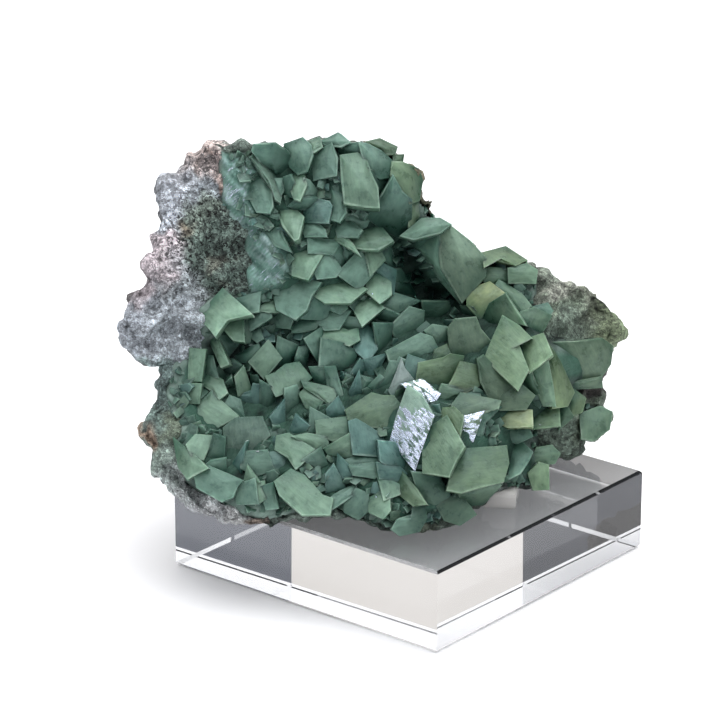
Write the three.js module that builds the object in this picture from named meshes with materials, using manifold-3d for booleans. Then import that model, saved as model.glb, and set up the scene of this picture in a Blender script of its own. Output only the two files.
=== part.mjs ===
// Heulandite specimen: green crystals on a basalt matrix, standing on a clear acrylic block.
// Millimetres, +Z up. The origin is the middle of the block's underside, and the display face
// looks toward -Y.
import * as THREE from 'three';
import { mergeVertices } from 'three/addons/utils/BufferGeometryUtils.js';
import Module from 'manifold-3d';

// The block: a square display block with narrow bevels, turned on the table.
const BLOCK_SIDE = 80;
const BLOCK_HEIGHT = 20;
const BLOCK_BEVEL = 0.6;
const BLOCK_TURN = -39.5;           // degrees about the vertical

// The specimen's own frame: u to the right and v up in the display face, w out of it.
const FACE_CENTRE = [-12, 12.3, 45.9];
const FACE_LEAN = 19.9;             // degrees that the face leans back
const VIEW_DISTANCE = 820;          // the corners below are measured as seen from here

const GAP = 0.3;                    // left between pieces that touch
const CELL = 5.8;                   // grid step of the rock's face and rear
const GRID_WIDTH = 136;
const GRID_HEIGHT = 120;
const CRUST_THICKNESS = 4.6;        // of the druse between the larger crystals
const CRUST_SUNK = 1;                // the druse's surface lies this far below the relief
const ROCK_BACK = -25;              // how far the rock reaches behind the face
const ROCK_MIDDLE = [2, 4];         // the middle of the face, about which the rock is rounded
const RIM_SUNK = 4;                 // the rock's widest line lies this far behind its face
const BARE_LUMPS = 1.5;             // height of the lumps on the bare rock
const REAR_LUMPS = 2.6;             // and on its broken rear
const CRYSTAL_ROOT = 3;             // how far a crystal goes into the druse
const CRYSTAL_FLARE = 0.88;         // how wide a crystal is at its root, as a share of its face

// The small clear mounting pad between the rock and the block.
const PAD_SIZE = [8, 7, 4.6];
const PAD_CENTRE = [21, -17, 22.6];
const PAD_TURN = -8;
const PAD_ROUNDING = 1.3;

const LOOK = {
  acrylic: { color: 0xe9edf0, roughness: 0.04, metalness: 0, transparent: true, opacity: 0.45 },
  pad: { color: 0xf2f3f3, roughness: 0.15, metalness: 0, transparent: true, opacity: 0.6 },
  basalt: { color: 0x8f8f92, roughness: 0.9, metalness: 0 },
  heulandite: { color: 0x6f8b7a, roughness: 0.4, metalness: 0 },
};

// The specimen's outline in the face, counter-clockwise from the top.
const OUTLINE = [
  [-7.2, 53.4], [-13.9, 53], [-18, 51.8], [-24.8, 52], [-31.2, 52.3], [-35.3, 53.3], [-40, 50.9],
  [-42.7, 49], [-44.7, 46.4], [-49.3, 43.3], [-49.5, 38.9], [-48.1, 34.2], [-50.2, 28.1],
  [-52.2, 25.1], [-52.7, 18.3], [-56.1, 14.6], [-57.6, 9.5], [-58.8, 7.5], [-57.2, 3.5],
  [-53.8, -0.2], [-49.5, -0.8], [-49.8, -4.9], [-50.6, -11], [-54, -18.1], [-51.4, -23.2],
  [-49.4, -27.3], [-44.9, -32.8], [-42.2, -35.2], [-36.2, -38.6], [-31.4, -39.8], [-26.5, -41],
  [-20.5, -40.3], [-16.9, -38.6], [-9.6, -38.8], [-2.4, -38.8], [1.2, -39.6], [8.4, -42.4],
  [14.5, -41.7], [19.3, -42], [22.9, -40.5], [28.9, -35], [35, -31.4], [42.7, -31.1],
  [45.3, -29.4], [44.9, -24.8], [49.4, -23.4], [53.1, -21.7], [55, -18.3], [57.9, -18.3],
  [60.8, -13.3], [59.4, -8.8], [58.2, -5.3], [60.2, -1.2], [61.1, 3.1], [63.6, 6.8],
  [62.7, 10.4], [57.7, 16.3], [55.9, 17.5], [48.2, 19.1], [42.2, 21.7], [38.6, 24.8],
  [34, 26.8], [29.9, 25.3], [26, 28.2], [21.3, 33], [17.6, 36], [14.7, 42], [12, 46.8],
  [8.5, 50.8], [2, 52.2], [-2.2, 53.2],
];

// The green crust's outline, inside the specimen's. Left of it and along the lower edge the rock is bare.
const CRUST_OUTLINE = [
  [-6, 53.2], [-14, 52.2], [-25, 51.2], [-33.4, 51], [-33.8, 41], [-32.8, 34], [-27.6, 31],
  [-27.4, 17], [-33.5, 16.2], [-39.4, 12.6], [-39, 9.4], [-37.5, 5], [-41.4, 2.6], [-45, -1],
  [-46.5, -8], [-46, -13], [-40, -15.6], [-39.6, -18], [-45, -19.6], [-44.2, -24], [-42, -29],
  [-37.6, -32.2], [-33, -34.8], [-28, -37.2], [-22, -38.4], [-16, -36.6], [-9, -37.4],
  [-2, -38], [5, -40.4], [11, -41.8], [15, -40.2], [22, -38.8], [28, -34.6], [35, -30.8],
  [44, -30.4], [44.6, -25], [47.6, -22.8], [42.6, -21], [43, -17], [48.2, -16.4], [50, -12.6],
  [52.6, -14.2], [54, -18], [57, -18.2], [60, -13.4], [54, -10], [52, -7.4], [57.4, -5.6],
  [59.6, -1], [60.4, 3.4], [58, 4.8], [47, 4.6], [45, 7], [45.8, 12.4], [42, 13.4], [42.4, 20.6],
  [38.2, 24], [33.6, 26], [29.8, 24.6], [26, 27.4], [21, 32.2], [17, 35.6], [14, 42],
  [11.4, 46.2], [8, 50], [2, 51.4],
];

// How far the face stands out (w), as points [u, v, w] between which it is blended smoothly:
// a forward-leaning upper mass, a trough under it, the deep gap at the right, and a front lip.
const RELIEF_RADIUS = 6.5;
const RELIEF = [
  [-38, 50, 11], [-24, 50, 14], [-10, 51, 13], [4, 51, 12], [12, 44, 9], [-4, 42, 18],
  [8, 37, 11], [-28, 42, 14], [-44, 42, 14], [-46, 30, 17], [-38, 30, 12], [-18, 40, 16],
  [-30, 22, 12], [-48, 18, 22], [-55, 10, 24], [-44, 10, 25], [-32, 12, 17], [-20, 28, 15],
  [-12, 24, 14], [-17, 15, 12], [-8, 16, 12], [2, 26, 12], [3, 18, 10], [-18, 5, 6],
  [-8, 8, 9], [4, 10, 6], [11, 22, 0], [17, 17, -10], [18, 24, -4], [24, 28, 0], [24, 18, -3],
  [34, 22, 2], [30, 13, 8], [14, 8, 9], [24, 4, 14], [36, 2, 20], [40, 13, 7], [44, -2, 16],
  [50, 12, -1], [60, 8, -5], [56, 0, 1], [57, -14, 0], [50, -18, 7], [43, -25, 14],
  [42, -14, 17], [34, -10, 21], [31, -26, 27], [22, -19, 29], [12, -17, 30], [14, -4, 21],
  [24, -3, 21], [0, -12, 21], [0, -2, 10], [-8, -8, 14], [-20, -8, 13], [-22, 1, 9],
  [-34, 0, 10], [-30, -7, 10], [-43, -2, 17], [-48, -9, 24], [-38, -12, 21], [-28, -17, 23],
  [-48, -20, 30], [-40, -24, 31], [-30, -30, 34], [-20, -22, 28], [-16, -31, 34], [-6, -18, 28],
  [-6, -28, 31], [2, -20, 29], [3, -31, 33], [10, -41, 37], [20, -38, 35], [-26, -40, 35],
  [-9, -38, 35], [27, -34, 29], [18, -30, 31], [38, -30, 20],
];

// The crystals' faces, as [looks right, looks up, stands out, [corners u, v in turn]]: the first
// two tilt the face off the display face, the third is its height in mm above the relief.
const CRYSTALS = [
  // Crown, at the top of the face.
  [-0.3, 0.15, 3, [-11.2, 49.5, -7, 51.8, -6, 45, -11, 43.8]],
  [0.05, 0.4, 6, [-4.5, 49, -0.5, 49.5, 1.5, 48.2, 4.4, 37.2, -3.5, 38.2]],
  [0.35, 0.25, 4, [0, 52.3, 7.5, 48, 8, 44.5, 4.8, 44.2, 2.3, 46]],
  [0.6, -0.3, 3, [2.3, 46, 4.8, 44.3, 7.8, 44, 4.4, 38.5]],
  [0.3, -0.4, 3.5, [8, 44, 12, 38.5, 12, 33, 9, 30, 1.5, 36, 5, 38.5]],
  [0.6, 0.1, 2.5, [8.2, 47.5, 13.8, 45.8, 14.2, 39, 12, 38.2, 8, 44.3]],
  [-0.3, 0.2, 3, [-18, 51.8, -13.9, 53.2, -12.2, 51.4, -12.9, 46.1, -15, 45.3]],
  [-0.2, 0.1, 2.5, [-13.3, 36.2, -11.2, 38.6, -7.3, 37, -8, 33.5, -12.9, 33.5]],
  [-0.2, 0.2, 3, [-7.2, 42, -4, 39, -5, 33.8, -7, 34.5]],
  [0.05, 0.45, 4.5, [4.2, 32.7, 7.2, 29.2, 4, 27, -0.8, 27.3, -1.8, 29.8]],
  // Upper left, beside the bare rock.
  [0.1, -0.2, 3, [-25.6, 50, -25.2, 51.6, -20.4, 51.8, -16, 47, -17, 44.6, -20, 43.8]],
  [0.5, 0.4, 3.5, [-26, 48.6, -25.4, 49.4, -21.4, 45.6, -19.4, 38.4]],
  [-0.1, 0.3, 1.5, [-29.6, 47.6, -27.4, 48.4, -23.2, 44.9, -28.4, 43.6]],
  [-0.2, 0.3, 2.5, [-25.6, 33.4, -21, 33.2, -20.4, 31.6, -27, 30, -28.2, 31.2]],
  [-0.2, 0.1, 2.5, [-26.8, 43, -23.1, 43.2, -21.7, 41.3, -22, 35.9, -24.8, 36.2]],
  [-0.2, 0.5, 3.5, [-19, 37.9, -14.1, 34.5, -16, 29.4, -19.7, 36.2]],
  [-0.1, 0.1, 1, [-33.2, 49.1, -27.8, 48.1, -24.4, 44.4, -27.1, 43.3, -25.1, 34.9, -32.6, 34.2]],
  [-0.2, -0.1, 1.5, [-29.9, 30.9, -22.4, 30.9, -17, 25.8, -16.3, 21.3, -20.4, 17.3, -26.5, 15.9]],
  // Centre, above the hollow.
  [-0.1, 0.4, 3.5, [-16, 26, -9.3, 25.3, -13.8, 20.2, -16, 20.8]],
  [0.1, 0.2, 2.5, [-12, 26, -12.2, 29.5, -5, 28.3, -8, 25.8]],
  [0.1, 0.1, 3, [-7.5, 26, -4.8, 22, -6.2, 20.4, -10, 19.9, -11, 22.5]],
  [0.2, 0.2, 3.5, [-0.5, 25.8, 2.2, 21.8, 0.2, 17.8, -4.8, 20.6]],
  [0, 0.5, 3, [-6, 20.2, 0.4, 16.6, -2.8, 14.2, -8, 14.2, -11, 15.8]],
  [-0.3, 0.2, 3.5, [-16, 20, -12, 19, -10.7, 17.3, -15.6, 10.3, -19.7, 12.5, -20.3, 15.3]],
  [0.1, -0.3, 2.5, [-12.2, 16, -7.5, 13.5, -10, 10, -14.5, 10.2]],
  [0.2, 0.1, 3, [4, 23.8, 8.3, 20.3, 8, 16.3, 3, 22]],
  [0.1, 0.4, 3.5, [1.9, 21.5, 6.9, 18.7, 7.2, 16.2, 4.8, 14.2, 2, 16.8]],
  [-0.1, 0.4, 3, [-1.4, 12.8, 2.5, 15.5, 4.5, 13.5, 2.2, 10, 0, 10]],
  [0.2, 0.1, 2.5, [8, 15.8, 12.9, 14.6, 8, 11.3, 4.6, 12.2, 5.5, 14.5]],
  [0.5, -0.3, 2, [8.3, 21.6, 10.1, 21.5, 12.9, 16.8, 11.5, 15.5, 8.1, 15.7]],
  [0.3, 0, 3, [11.8, 12.4, 15.2, 11.6, 14.7, 7.3, 9.8, 4.2, 7.6, 8]],
  [0, -0.5, 1.5, [6.2, 12, 9.8, 10.5, 8, 8.9, 0.5, 9.2]],
  [-0.1, 0.1, 2.5, [-10, 9.2, -7.8, 12.2, -4.2, 11.8, -5.4, 7.8, -8.2, 7.6]],
  [0, 0.5, 3.5, [-9.3, 8, -1, 7.6, -0.6, 5, -2.6, 4, -9, 5.6]],
  // Right top, the long crystal over the deep gap.
  [0.05, 0.35, 9, [10.1, 29.9, 15.7, 31.6, 21.7, 31.3, 28.6, 24.3, 28.9, 18.7, 26.2, 17.2, 22.4, 18.8,
    18.2, 24.6, 14, 25.8]],
  [0, 1, 8, [10.3, 30.8, 14.5, 33.3, 19.3, 34, 21.8, 32.8, 21.7, 31.4]],
  [-0.4, -0.8, 6.5, [14, 25.6, 18, 25, 22, 19.5, 26, 17.5, 24.6, 13.4, 20.2, 16.5]],
  [0.1, 0.6, 4, [30, 25.3, 34.2, 26.8, 39.4, 24, 37, 23, 33, 24.3, 30.5, 22.5]],
  [0, 0.1, 2.5, [31.3, 22, 35.9, 21.8, 36.3, 18.8, 31.5, 18.2, 30, 19.5]],
  [0.1, 0.2, 2.5, [36.2, 22, 40, 22.8, 42.3, 21.6, 42, 18.8, 36.3, 18.8]],
  [-0.1, 0.4, 4.5, [27.6, 17.3, 30, 18.1, 34.8, 15.8, 28.9, 10.2, 26.2, 13.8]],
  [0.3, 0.3, 2.5, [33.8, 19.1, 41, 13.4, 39.5, 12.2, 33, 17.7]],
  [-0.3, -0.1, 3.5, [34.9, 15.6, 38, 8.8, 35.2, 9.7, 31.3, 4.5, 29, 8.2]],
  [0.3, 0.1, 2.5, [38, 11, 42, 12.2, 45.8, 10.6, 42.6, 5.4, 38.2, 8.4]],
  [0.1, -0.3, 1.5, [15.3, 14, 21.3, 13.2, 21.8, 11.5, 19, 8.3, 15.7, 9.8]],
  [0.1, 0.1, 2.5, [16, 6.8, 17.8, 8.1, 21.2, 7.6, 21.6, 3.5, 18.6, 2.5]],
  [0, 0.05, 4, [23.2, 9.4, 27.9, 9.8, 31, 4.5, 30.3, 0.8, 28, -1.4, 22.2, 1.6, 21.6, 7.3]],
  [0, 0.2, 3, [8, 2.8, 14.5, 6, 17, 5.3, 18.5, 2.5, 17.8, 0, 7.5, 0]],
  // Left middle.
  [-0.2, 0.5, 3.5, [-39, 12.4, -36.2, 13.2, -34, 16, -28, 12.3, -28.2, 10.8, -32.5, 10, -34.9, 6.2,
    -38.9, 10.5]],
  [-0.2, 0.35, 4.5, [-33, 10.2, -28.4, 10.9, -28.2, 4.8, -33.6, 8.6]],
  [0, 0.2, 2.5, [-28.1, 10.8, -22, 12.2, -21.8, 10.2, -26.1, 7.6, -28, 8.4]],
  // Left lower, blades and plates in the hollow.
  [-0.2, 0.2, 4.5, [-41, 2.4, -37.4, 2.1, -38.4, -4.6, -41.3, -4.7]],
  [0.1, 0.4, 4, [-38.9, -5.2, -36.4, -2.9, -32.4, -7.6, -34.2, -9]],
  [0.1, 0.2, 5, [-26.4, -0.4, -22.2, 4.4, -20.2, 1.6, -23, -4.2]],
  [-0.1, 0.4, 5.5, [-22, -3.8, -15.8, -1, -12.1, -4.3, -20, -8.4]],
  [0.4, -0.1, 4, [-17.8, -7.4, -16, -6.8, -13.2, -11.3, -16.9, -13.4, -18, -12.3]],
  [0.1, 0, 3, [-19.6, 5.3, -15.2, 3.2, -16.4, -0.8, -20, -1.9]],
  [0, 0.4, 3, [-37, -9.2, -35.6, -7.4, -29.8, -13.4, -37.2, -16, -42, -13, -41.4, -10.4]],
  [-0.1, 0.25, 4.5, [-32.2, -16.2, -29.8, -14.4, -26, -14.1, -22.4, -17.6, -26.4, -21.8, -30.8, -22.2,
    -32.3, -20.8]],
  [-0.1, -0.1, 3.5, [-29.2, -8.5, -26.4, -8, -26, -6.2, -24.2, -6.4, -24.2, -11.8, -29, -11.5]],
  [0.1, -0.2, 3, [-23.2, -5.8, -20.4, -8.4, -21.6, -13, -24, -11.5]],
  [-0.4, 0.2, 3.5, [-44.7, -19.8, -38, -25.2, -41.7, -28.2, -43.4, -25.6]],
  [0, 0.3, 4, [-39.6, -18.4, -36.9, -18.4, -37.9, -23.6, -40.4, -22.8, -41.4, -20.4]],
  [0.1, 0.1, 3.5, [-35.4, -18.4, -32.8, -19.1, -33.1, -22.8, -37.4, -24.2]],
  [-0.1, 0.2, 4, [-39.8, -26.4, -36.6, -26, -28.8, -29, -31, -32.6, -33.5, -33.6, -39, -30]],
  [0, 0.1, 4, [-28.3, -22.4, -22.6, -22.4, -21.6, -26.6, -25, -27.4, -28.3, -26]],
  [-0.2, 0.1, 3, [-30, -30.6, -27.4, -29.6, -25.4, -30.6, -25, -33.4, -29.4, -34.4]],
  // Lower centre and the front lip.
  [-0.15, 0.05, 7, [11.8, -6.9, 17.3, -13.7, 13.1, -26.2, 8.5, -20, 8.2, -17.1]],
  [0.2, 0.3, 5, [12.3, -5.6, 14.4, -5.2, 18.6, -7.8, 17, -11.3, 12.4, -7.2]],
  [0, 0.1, 5.5, [24.5, -14.5, 29.6, -12.7, 26.8, -19, 25.2, -18.3]],
  [0, 0.35, 5, [-20, -29.9, -16.4, -26.6, -7, -33.2, -7.5, -36.2, -13.3, -36.8, -18.8, -32.6]],
  [-0.1, 0.3, 5, [-10.4, -15, -3.4, -13.9, -3.1, -18, -6.6, -19, -10, -18]],
  [0, 0.1, 4.5, [-2.7, -18.3, -8.2, -21.3, -7.2, -22.7, -1.8, -22.8]],
  [0.15, 0.15, 5, [-2.4, -15.2, -0.6, -14.6, 5.6, -19.4, 5, -23, -1, -22.4]],
  [0, 0.3, 6, [-3, -12, 3.3, -8.5, 7.6, -8.8, 9.2, -12.2, 4.5, -15.9, -2.4, -14]],
  [-0.1, 0.3, 4.5, [-19.8, -18.6, -17.6, -18.2, -11, -21.8, -15.9, -25.6, -17.2, -23, -20, -21.6]],
  [0.3, 0, 4.5, [6, -20, 7.7, -20.3, 12.3, -26.2, 11.6, -27.6, 5.5, -24.3]],
  [0.2, 0.1, 4, [4.4, -24.9, 8.4, -25.2, 11, -27.4, 9.6, -29, 5.2, -28.4]],
  [-0.3, 0.3, 5, [9.9, -27.3, 9.2, -30.9, 12.6, -34.6, 15.6, -34.4]],
  [-0.2, 0.4, 4, [2.4, -33.6, 5.3, -31.8, 6.8, -33, 5.4, -37.8, 2.6, -36.4]],
  [0, 0, 3, [-3.4, -34, -1, -31.4, 1.6, -32.6, 1.8, -36, -0.4, -38, -3.4, -36.4]],
  [0.05, 0.25, 4.5, [15.8, -1, 23.5, 0.8, 23.6, -3.2, 20, -6.5, 14, -5]],
  [0.1, 0.25, 5, [24.2, -1, 29, -2, 28, -6.2, 26, -7.2, 21.8, -6]],
  [0.1, 0.1, 4, [21, -6.2, 26.2, -7.4, 19.2, -10.4, 19, -8.4]],
  [0.2, 0.1, 5, [28.5, -0.2, 29.5, 0.4, 36.6, -5.7, 33.4, -9, 31, -8.6]],
  [0, 0.35, 6, [24.4, -8.6, 33.5, -9.8, 33, -11.2, 25.2, -13.8, 22.8, -10.5]],
  [0.5, -0.1, 5, [29.8, -12.7, 33.8, -11.8, 31, -14, 29.6, -20, 26.8, -20.8]],
  [-0.2, 0.25, 8, [20.6, -14, 24.4, -21.2, 21.8, -26.4, 17, -27, 15.4, -25.2, 17.2, -16.4]],
  [0.1, 0.3, 8, [25.3, -22, 35, -21.4, 34.4, -28.2, 24, -31.5, 21.4, -31.1, 23.2, -23.8]],
  [0.3, -0.6, 6, [24, -31.9, 34.8, -28.6, 34.4, -31.4, 31.4, -34, 25.8, -35]],
  [0.1, -0.1, 4, [12.8, -27.4, 19.4, -29.2, 21.6, -33.6, 18, -36, 15.8, -34.2]],
  [0.1, 0, 3.5, [19, -35.4, 22, -33.4, 24.6, -33.6, 27.6, -37.2, 24, -39.4, 20.8, -38.4]],
  [0, 0, 3.5, [12.6, -35.4, 15.4, -35.6, 14, -41, 10, -42, 8, -40.6, 9.6, -38.4, 12.4, -37.8]],
  [0, 0.3, 3, [41, -11.8, 47.6, -12.2, 47.8, -15.6, 41.2, -15.4]],
  [-0.05, 0.3, 5.5, [33.2, -13.8, 34, -12.2, 41, -12.2, 41.2, -15.8, 36, -15.8]],
  [0, 0.1, 5, [33.8, -8.2, 38.4, -5.9, 41.2, -8.2, 39.6, -11.6, 34.2, -11.8]],
  [0.1, 0.1, 3, [34.4, -17, 40, -16.4, 41.2, -18.4, 35, -19.4]],
  [-0.1, 0.3, 4, [35.4, -21, 38.6, -19.9, 41.2, -22.4, 36.6, -28]],
  [0.1, 0.1, 4, [41, -27.4, 43.2, -25.2, 45.2, -25.8, 44.4, -30.8, 42, -30.9]],
  [0.1, 0.1, 3, [41.8, -24, 43, -21.4, 46, -21, 47.8, -22.6, 46.6, -24.6]],
  // Right, the tall pyramids and the dark side.
  [0, 0.3, 7, [35, 9.7, 41, 4.9, 38.3, 4.3, 40.3, -1.9, 38.5, -5.7, 36.6, -5.4, 30.5, 0.6]],
  [-0.3, 0.3, 8, [39, 4.1, 43.9, 6.1, 45.8, 1.5, 40.8, -2.5, 38.3, 1.8]],
  [0.6, 0, 7, [44.4, 5.6, 51.4, -7.4, 50, -10.6, 47.4, -11]],
  [-0.2, -0.2, 7, [45.1, 0.9, 41.4, -2.6, 44.2, -10.6, 47, -10.8]],
  [0.3, 0, 4, [46.4, 4.1, 58.1, 4.8, 60.6, 3.1, 58.1, -3.6, 51.4, -5]],
  [0.2, 0.2, 3, [53.5, -14.4, 57.9, -11.6, 60.4, -12.8, 58.8, -17.2, 56.4, -19, 53.8, -18.6]],
  // The hollow below the centre.
  [0.1, 0.1, 4.5, [-9, 5, -2, 2.4, -1.3, 1, -3.5, -1.6, -8.5, -2]],
  [-0.2, 0, 4, [-8.5, -2, -6, -2, -4, -10, -5.5, -9.7]],
  [-0.1, 0.4, 4.5, [-13.8, -5.3, -6.2, -6.9, -6.4, -9.8, -7.6, -10.5]],
  [-0.1, 0.1, 4.5, [7.3, -0.8, 10.6, -0.3, 7, -7.2, 4.4, -6.4]],
  [0, 0.3, 4, [11.7, 0.8, 15.6, -0.4, 13.8, -4.6, 10.8, -2.4]],
  [0, 0.2, 3.5, [0.3, 9, 3, 7, 3.8, 3, 1.8, 0, -0.8, 4.8]],
  [0.4, -0.1, 3, [3.4, 8.4, 7.6, 7.2, 6.8, 2, 2.2, 0.2, 4.2, 3.4]],
];

const wasm = await Module();
wasm.setup();

// Turns a closed three.js geometry into a solid that can be joined and cut.
function solidOf(geometry) {
  const bare = geometry.clone();
  bare.deleteAttribute('normal');
  bare.deleteAttribute('uv');
  const merged = mergeVertices(bare, 1e-4);
  const vertProperties = new Float32Array(merged.attributes.position.array);
  const triVerts = new Uint32Array(merged.index.array);
  return new wasm.Manifold(new wasm.Mesh({ numProp: 3, vertProperties, triVerts }));
}

// Turns a solid back into a flat-shaded geometry.
function geometryOf(solid) {
  const mesh = solid.getMesh();
  const geometry = new THREE.BufferGeometry();
  geometry.setAttribute('position', new THREE.BufferAttribute(mesh.vertProperties, 3));
  geometry.setIndex(new THREE.BufferAttribute(mesh.triVerts, 1));
  geometry.computeVertexNormals();
  return geometry;
}

// The largest connected body of a solid: loose crumbs from the cuts are dropped.
function mainBody(solid) {
  return solid.decompose().reduce((best, part) => (part.volume() > best.volume() ? part : best));
}

// A smooth mix of sine waves, between about -1 and 1, that stands for the rock's lumps.
function lumps(x, y, z) {
  return (
    Math.sin(0.43 * x + 1.3 * Math.sin(0.21 * y + 0.17 * z)) * 0.45 +
    Math.sin(0.52 * y - 0.31 * z + 1.9 * Math.sin(0.19 * x)) * 0.35 +
    Math.sin(0.77 * z + 0.36 * x - 0.29 * y) * 0.2
  );
}

// The face's height at (u, v): the relief points blended by a bell curve of their distance.
function relief(u, v) {
  let height = 0;
  let total = 0;
  for (const [pu, pv, pw] of RELIEF) {
    const distance = Math.hypot(u - pu, v - pv) / RELIEF_RADIUS;
    const share = Math.exp(-0.5 * distance * distance) + 1e-6 / (1 + distance ** 4);
    height += share * pw;
    total += share;
  }
  return height / total;
}

// The place of a point seen at (u, v) from the viewing distance, at depth w.
function place(u, v, w) {
  const closeness = 1 - w / VIEW_DISTANCE;
  return new THREE.Vector3(u * closeness, v * closeness, w);
}

// Whether (u, v) lies inside a polygon.
function inside(u, v, polygon) {
  let odd = false;
  polygon.forEach(([u1, v1], i) => {
    const [u0, v0] = polygon[(i + polygon.length - 1) % polygon.length];
    if (v0 > v !== v1 > v && u < ((u0 - u1) * (v - v1)) / (v0 - v1) + u1) odd = !odd;
  });
  return odd;
}

// A slab between two height fields, on one grid over the whole face.
function slabBetween(top, bottom) {
  const columns = Math.round(GRID_WIDTH / CELL);
  const rows = Math.round(GRID_HEIGHT / CELL);
  const slab = new THREE.BoxGeometry(GRID_WIDTH, GRID_HEIGHT, 1, columns, rows, 1);
  const points = slab.attributes.position;
  for (let i = 0; i < points.count; i += 1) {
    const height = points.getZ(i) > 0 ? top : bottom;
    points.setZ(i, height(points.getX(i), points.getY(i)));
  }
  return solidOf(slab);
}

// The rock's own face: under the crust it lies deeper by the crust's thickness, and where it
// is bare it is roughened by lumps.
function rockFace(u, v) {
  if (inside(u, v, CRUST_OUTLINE)) return relief(u, v) - CRUST_THICKNESS - CRUST_SUNK;
  return relief(u, v) + BARE_LUMPS * lumps(1.7 * u, 1.7 * v, 0);
}

// The rock's rear: a broken, lumpy surface, deepest behind the middle.
function rockRear(u, v) {
  const [ru, rv] = [u - ROCK_MIDDLE[0], v - ROCK_MIDDLE[1]];
  return ROCK_BACK + 0.003 * (ru ** 2 + 1.5 * rv ** 2) + REAR_LUMPS * lumps(u, 0.9 * v, 4);
}

// Everything behind the rock's face, lifted by the given distance.
function behindFace(lift) {
  return slabBetween((u, v) => rockFace(u, v) + lift, () => -80);
}

// A closed body from rings of points: rings run from one pole to the other.
function ringBody(front, rings, back) {
  const count = rings[0].length;
  const positions = [front, ...rings.flat(), back].flatMap((p) => [p.x, p.y, p.z]);
  const index = [];
  const last = 1 + rings.length * count;
  for (let j = 0; j < count; j += 1) {
    const next = (j + 1) % count;
    index.push(0, 1 + j, 1 + next);
    index.push(last, last - count + next, last - count + j);
    for (let i = 0; i < rings.length - 1; i += 1) {
      const [a, b] = [1 + i * count, 1 + (i + 1) * count];
      index.push(a + j, b + j, b + next, a + j, b + next, a + next);
    }
  }
  const geometry = new THREE.BufferGeometry();
  geometry.setAttribute('position', new THREE.Float32BufferAttribute(positions, 3));
  geometry.setIndex(index);
  return geometry;
}

// The rock before its face and rear are cut: the outline, with rounded shoulders in front
// and behind.
function rockBody() {
  const [mu, mv] = ROCK_MIDDLE;
  const ring = (share, depth) => OUTLINE.map(([u, v]) => {
    const [ru, rv] = [mu + (u - mu) * share, mv + (v - mv) * share];
    return place(ru, rv, depth(u, v, ru, rv));
  });
  const rim = (u, v) => relief(u, v) - RIM_SUNK;
  const fore = (lift) => (u, v, ru, rv) => relief(ru, rv) + lift;
  const rear = (share) => (u, v) => {
    const swell = (1 - share ** 2) ** 0.42;
    return rim(u, v) + (1.5 * ROCK_BACK - rim(u, v)) * swell;
  };
  const rings = [
    ...[[0.6, 9], [0.9, 5], [0.965, 1.5], [0.993, -1.4]].map(([share, lift]) => ring(share, fore(lift))),
    ring(1, rim),
    ...[0.985, 0.94, 0.86, 0.7].map((share) => ring(share, rear(share))),
  ];
  return ringBody(place(mu, mv, 45), rings, place(mu, mv, 2 * ROCK_BACK));
}

// A crystal: its face's corners on a tilted plane, run back along the face's normal.
function crystal(right, up, out, corners) {
  const points = [];
  for (let i = 0; i < corners.length; i += 2) points.push([corners[i], corners[i + 1]]);
  const middle = points.reduce(([a, b], [u, v]) => [a + u / points.length, b + v / points.length], [0, 0]);
  const height = relief(...middle) + out;
  const centre = place(...middle, height);
  const normal = new THREE.Vector3(right, up, 1).normalize();
  const onPlane = ([u, v]) => {
    let point = place(u, v, height);
    for (let step = 0; step < 3; step += 1) {
      const offset = (point.x - centre.x) * right + (point.y - centre.y) * up;
      point = place(u, v, height - offset);
    }
    return point;
  };
  const depth = out + CRYSTAL_ROOT;
  const shape = new THREE.Shape(points.map(([u, v]) => new THREE.Vector2(u, v)));
  const prism = new THREE.ExtrudeGeometry(shape, { depth: 1, bevelEnabled: false });
  const corner = prism.attributes.position;
  for (let i = 0; i < corner.count; i += 1) {
    const front = onPlane([corner.getX(i), corner.getY(i)]);
    if (corner.getZ(i) < 0.5) {
      front.sub(centre).multiplyScalar(CRYSTAL_FLARE).add(centre);
      front.addScaledVector(normal, -depth);
    }
    corner.setXYZ(i, front.x, front.y, front.z);
  }
  return solidOf(prism);
}

// The space over the block's top, from the gap upward, in the specimen's own frame.
function overBlock(toSpecimen) {
  const tall = 200;
  const room = new THREE.BoxGeometry(2 * tall, 2 * tall, tall);
  room.translate(0, 0, BLOCK_HEIGHT + GAP + tall / 2);
  return solidOf(room.applyMatrix4(toSpecimen));
}

function specimenGeometries(toSpecimen, padSolid) {
  const sky = overBlock(toSpecimen);
  const faces = slabBetween((u, v) => rockFace(u, v) - GAP / 2, rockRear);
  const rock = solidOf(rockBody()).intersect(faces).intersect(sky).subtract(padSolid);

  const region = new THREE.Shape(CRUST_OUTLINE.map(([u, v]) => new THREE.Vector2(u, v)));
  const regionPrism = new THREE.ExtrudeGeometry(region, { depth: 120, bevelEnabled: false });
  regionPrism.translate(0, 0, -60);
  const druse = behindFace(CRUST_THICKNESS).intersect(solidOf(regionPrism));
  const grown = CRYSTALS.map((row) => crystal(...row));
  const joined = grown.reduce((sum, part) => sum.add(part), druse);
  const crust = joined.subtract(behindFace(GAP / 2)).intersect(sky).subtract(padSolid);
  return { rock: geometryOf(mainBody(rock)), crust: geometryOf(mainBody(crust)) };
}

// A box with rounded edges: an extruded rounded rectangle with a rounded bevel all round.
function roundedBox([width, length, height], rounding, segments) {
  const [w, l] = [width / 2 - rounding, length / 2 - rounding];
  const shape = new THREE.Shape();
  shape.moveTo(-w, -l);
  shape.lineTo(w, -l);
  shape.lineTo(w, l);
  shape.lineTo(-w, l);
  shape.closePath();
  const geometry = new THREE.ExtrudeGeometry(shape, {
    depth: height - 2 * rounding,
    bevelEnabled: true,
    bevelThickness: rounding,
    bevelSize: rounding,
    bevelSegments: segments,
  });
  geometry.translate(0, 0, rounding - height / 2);
  return geometry;
}

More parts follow.
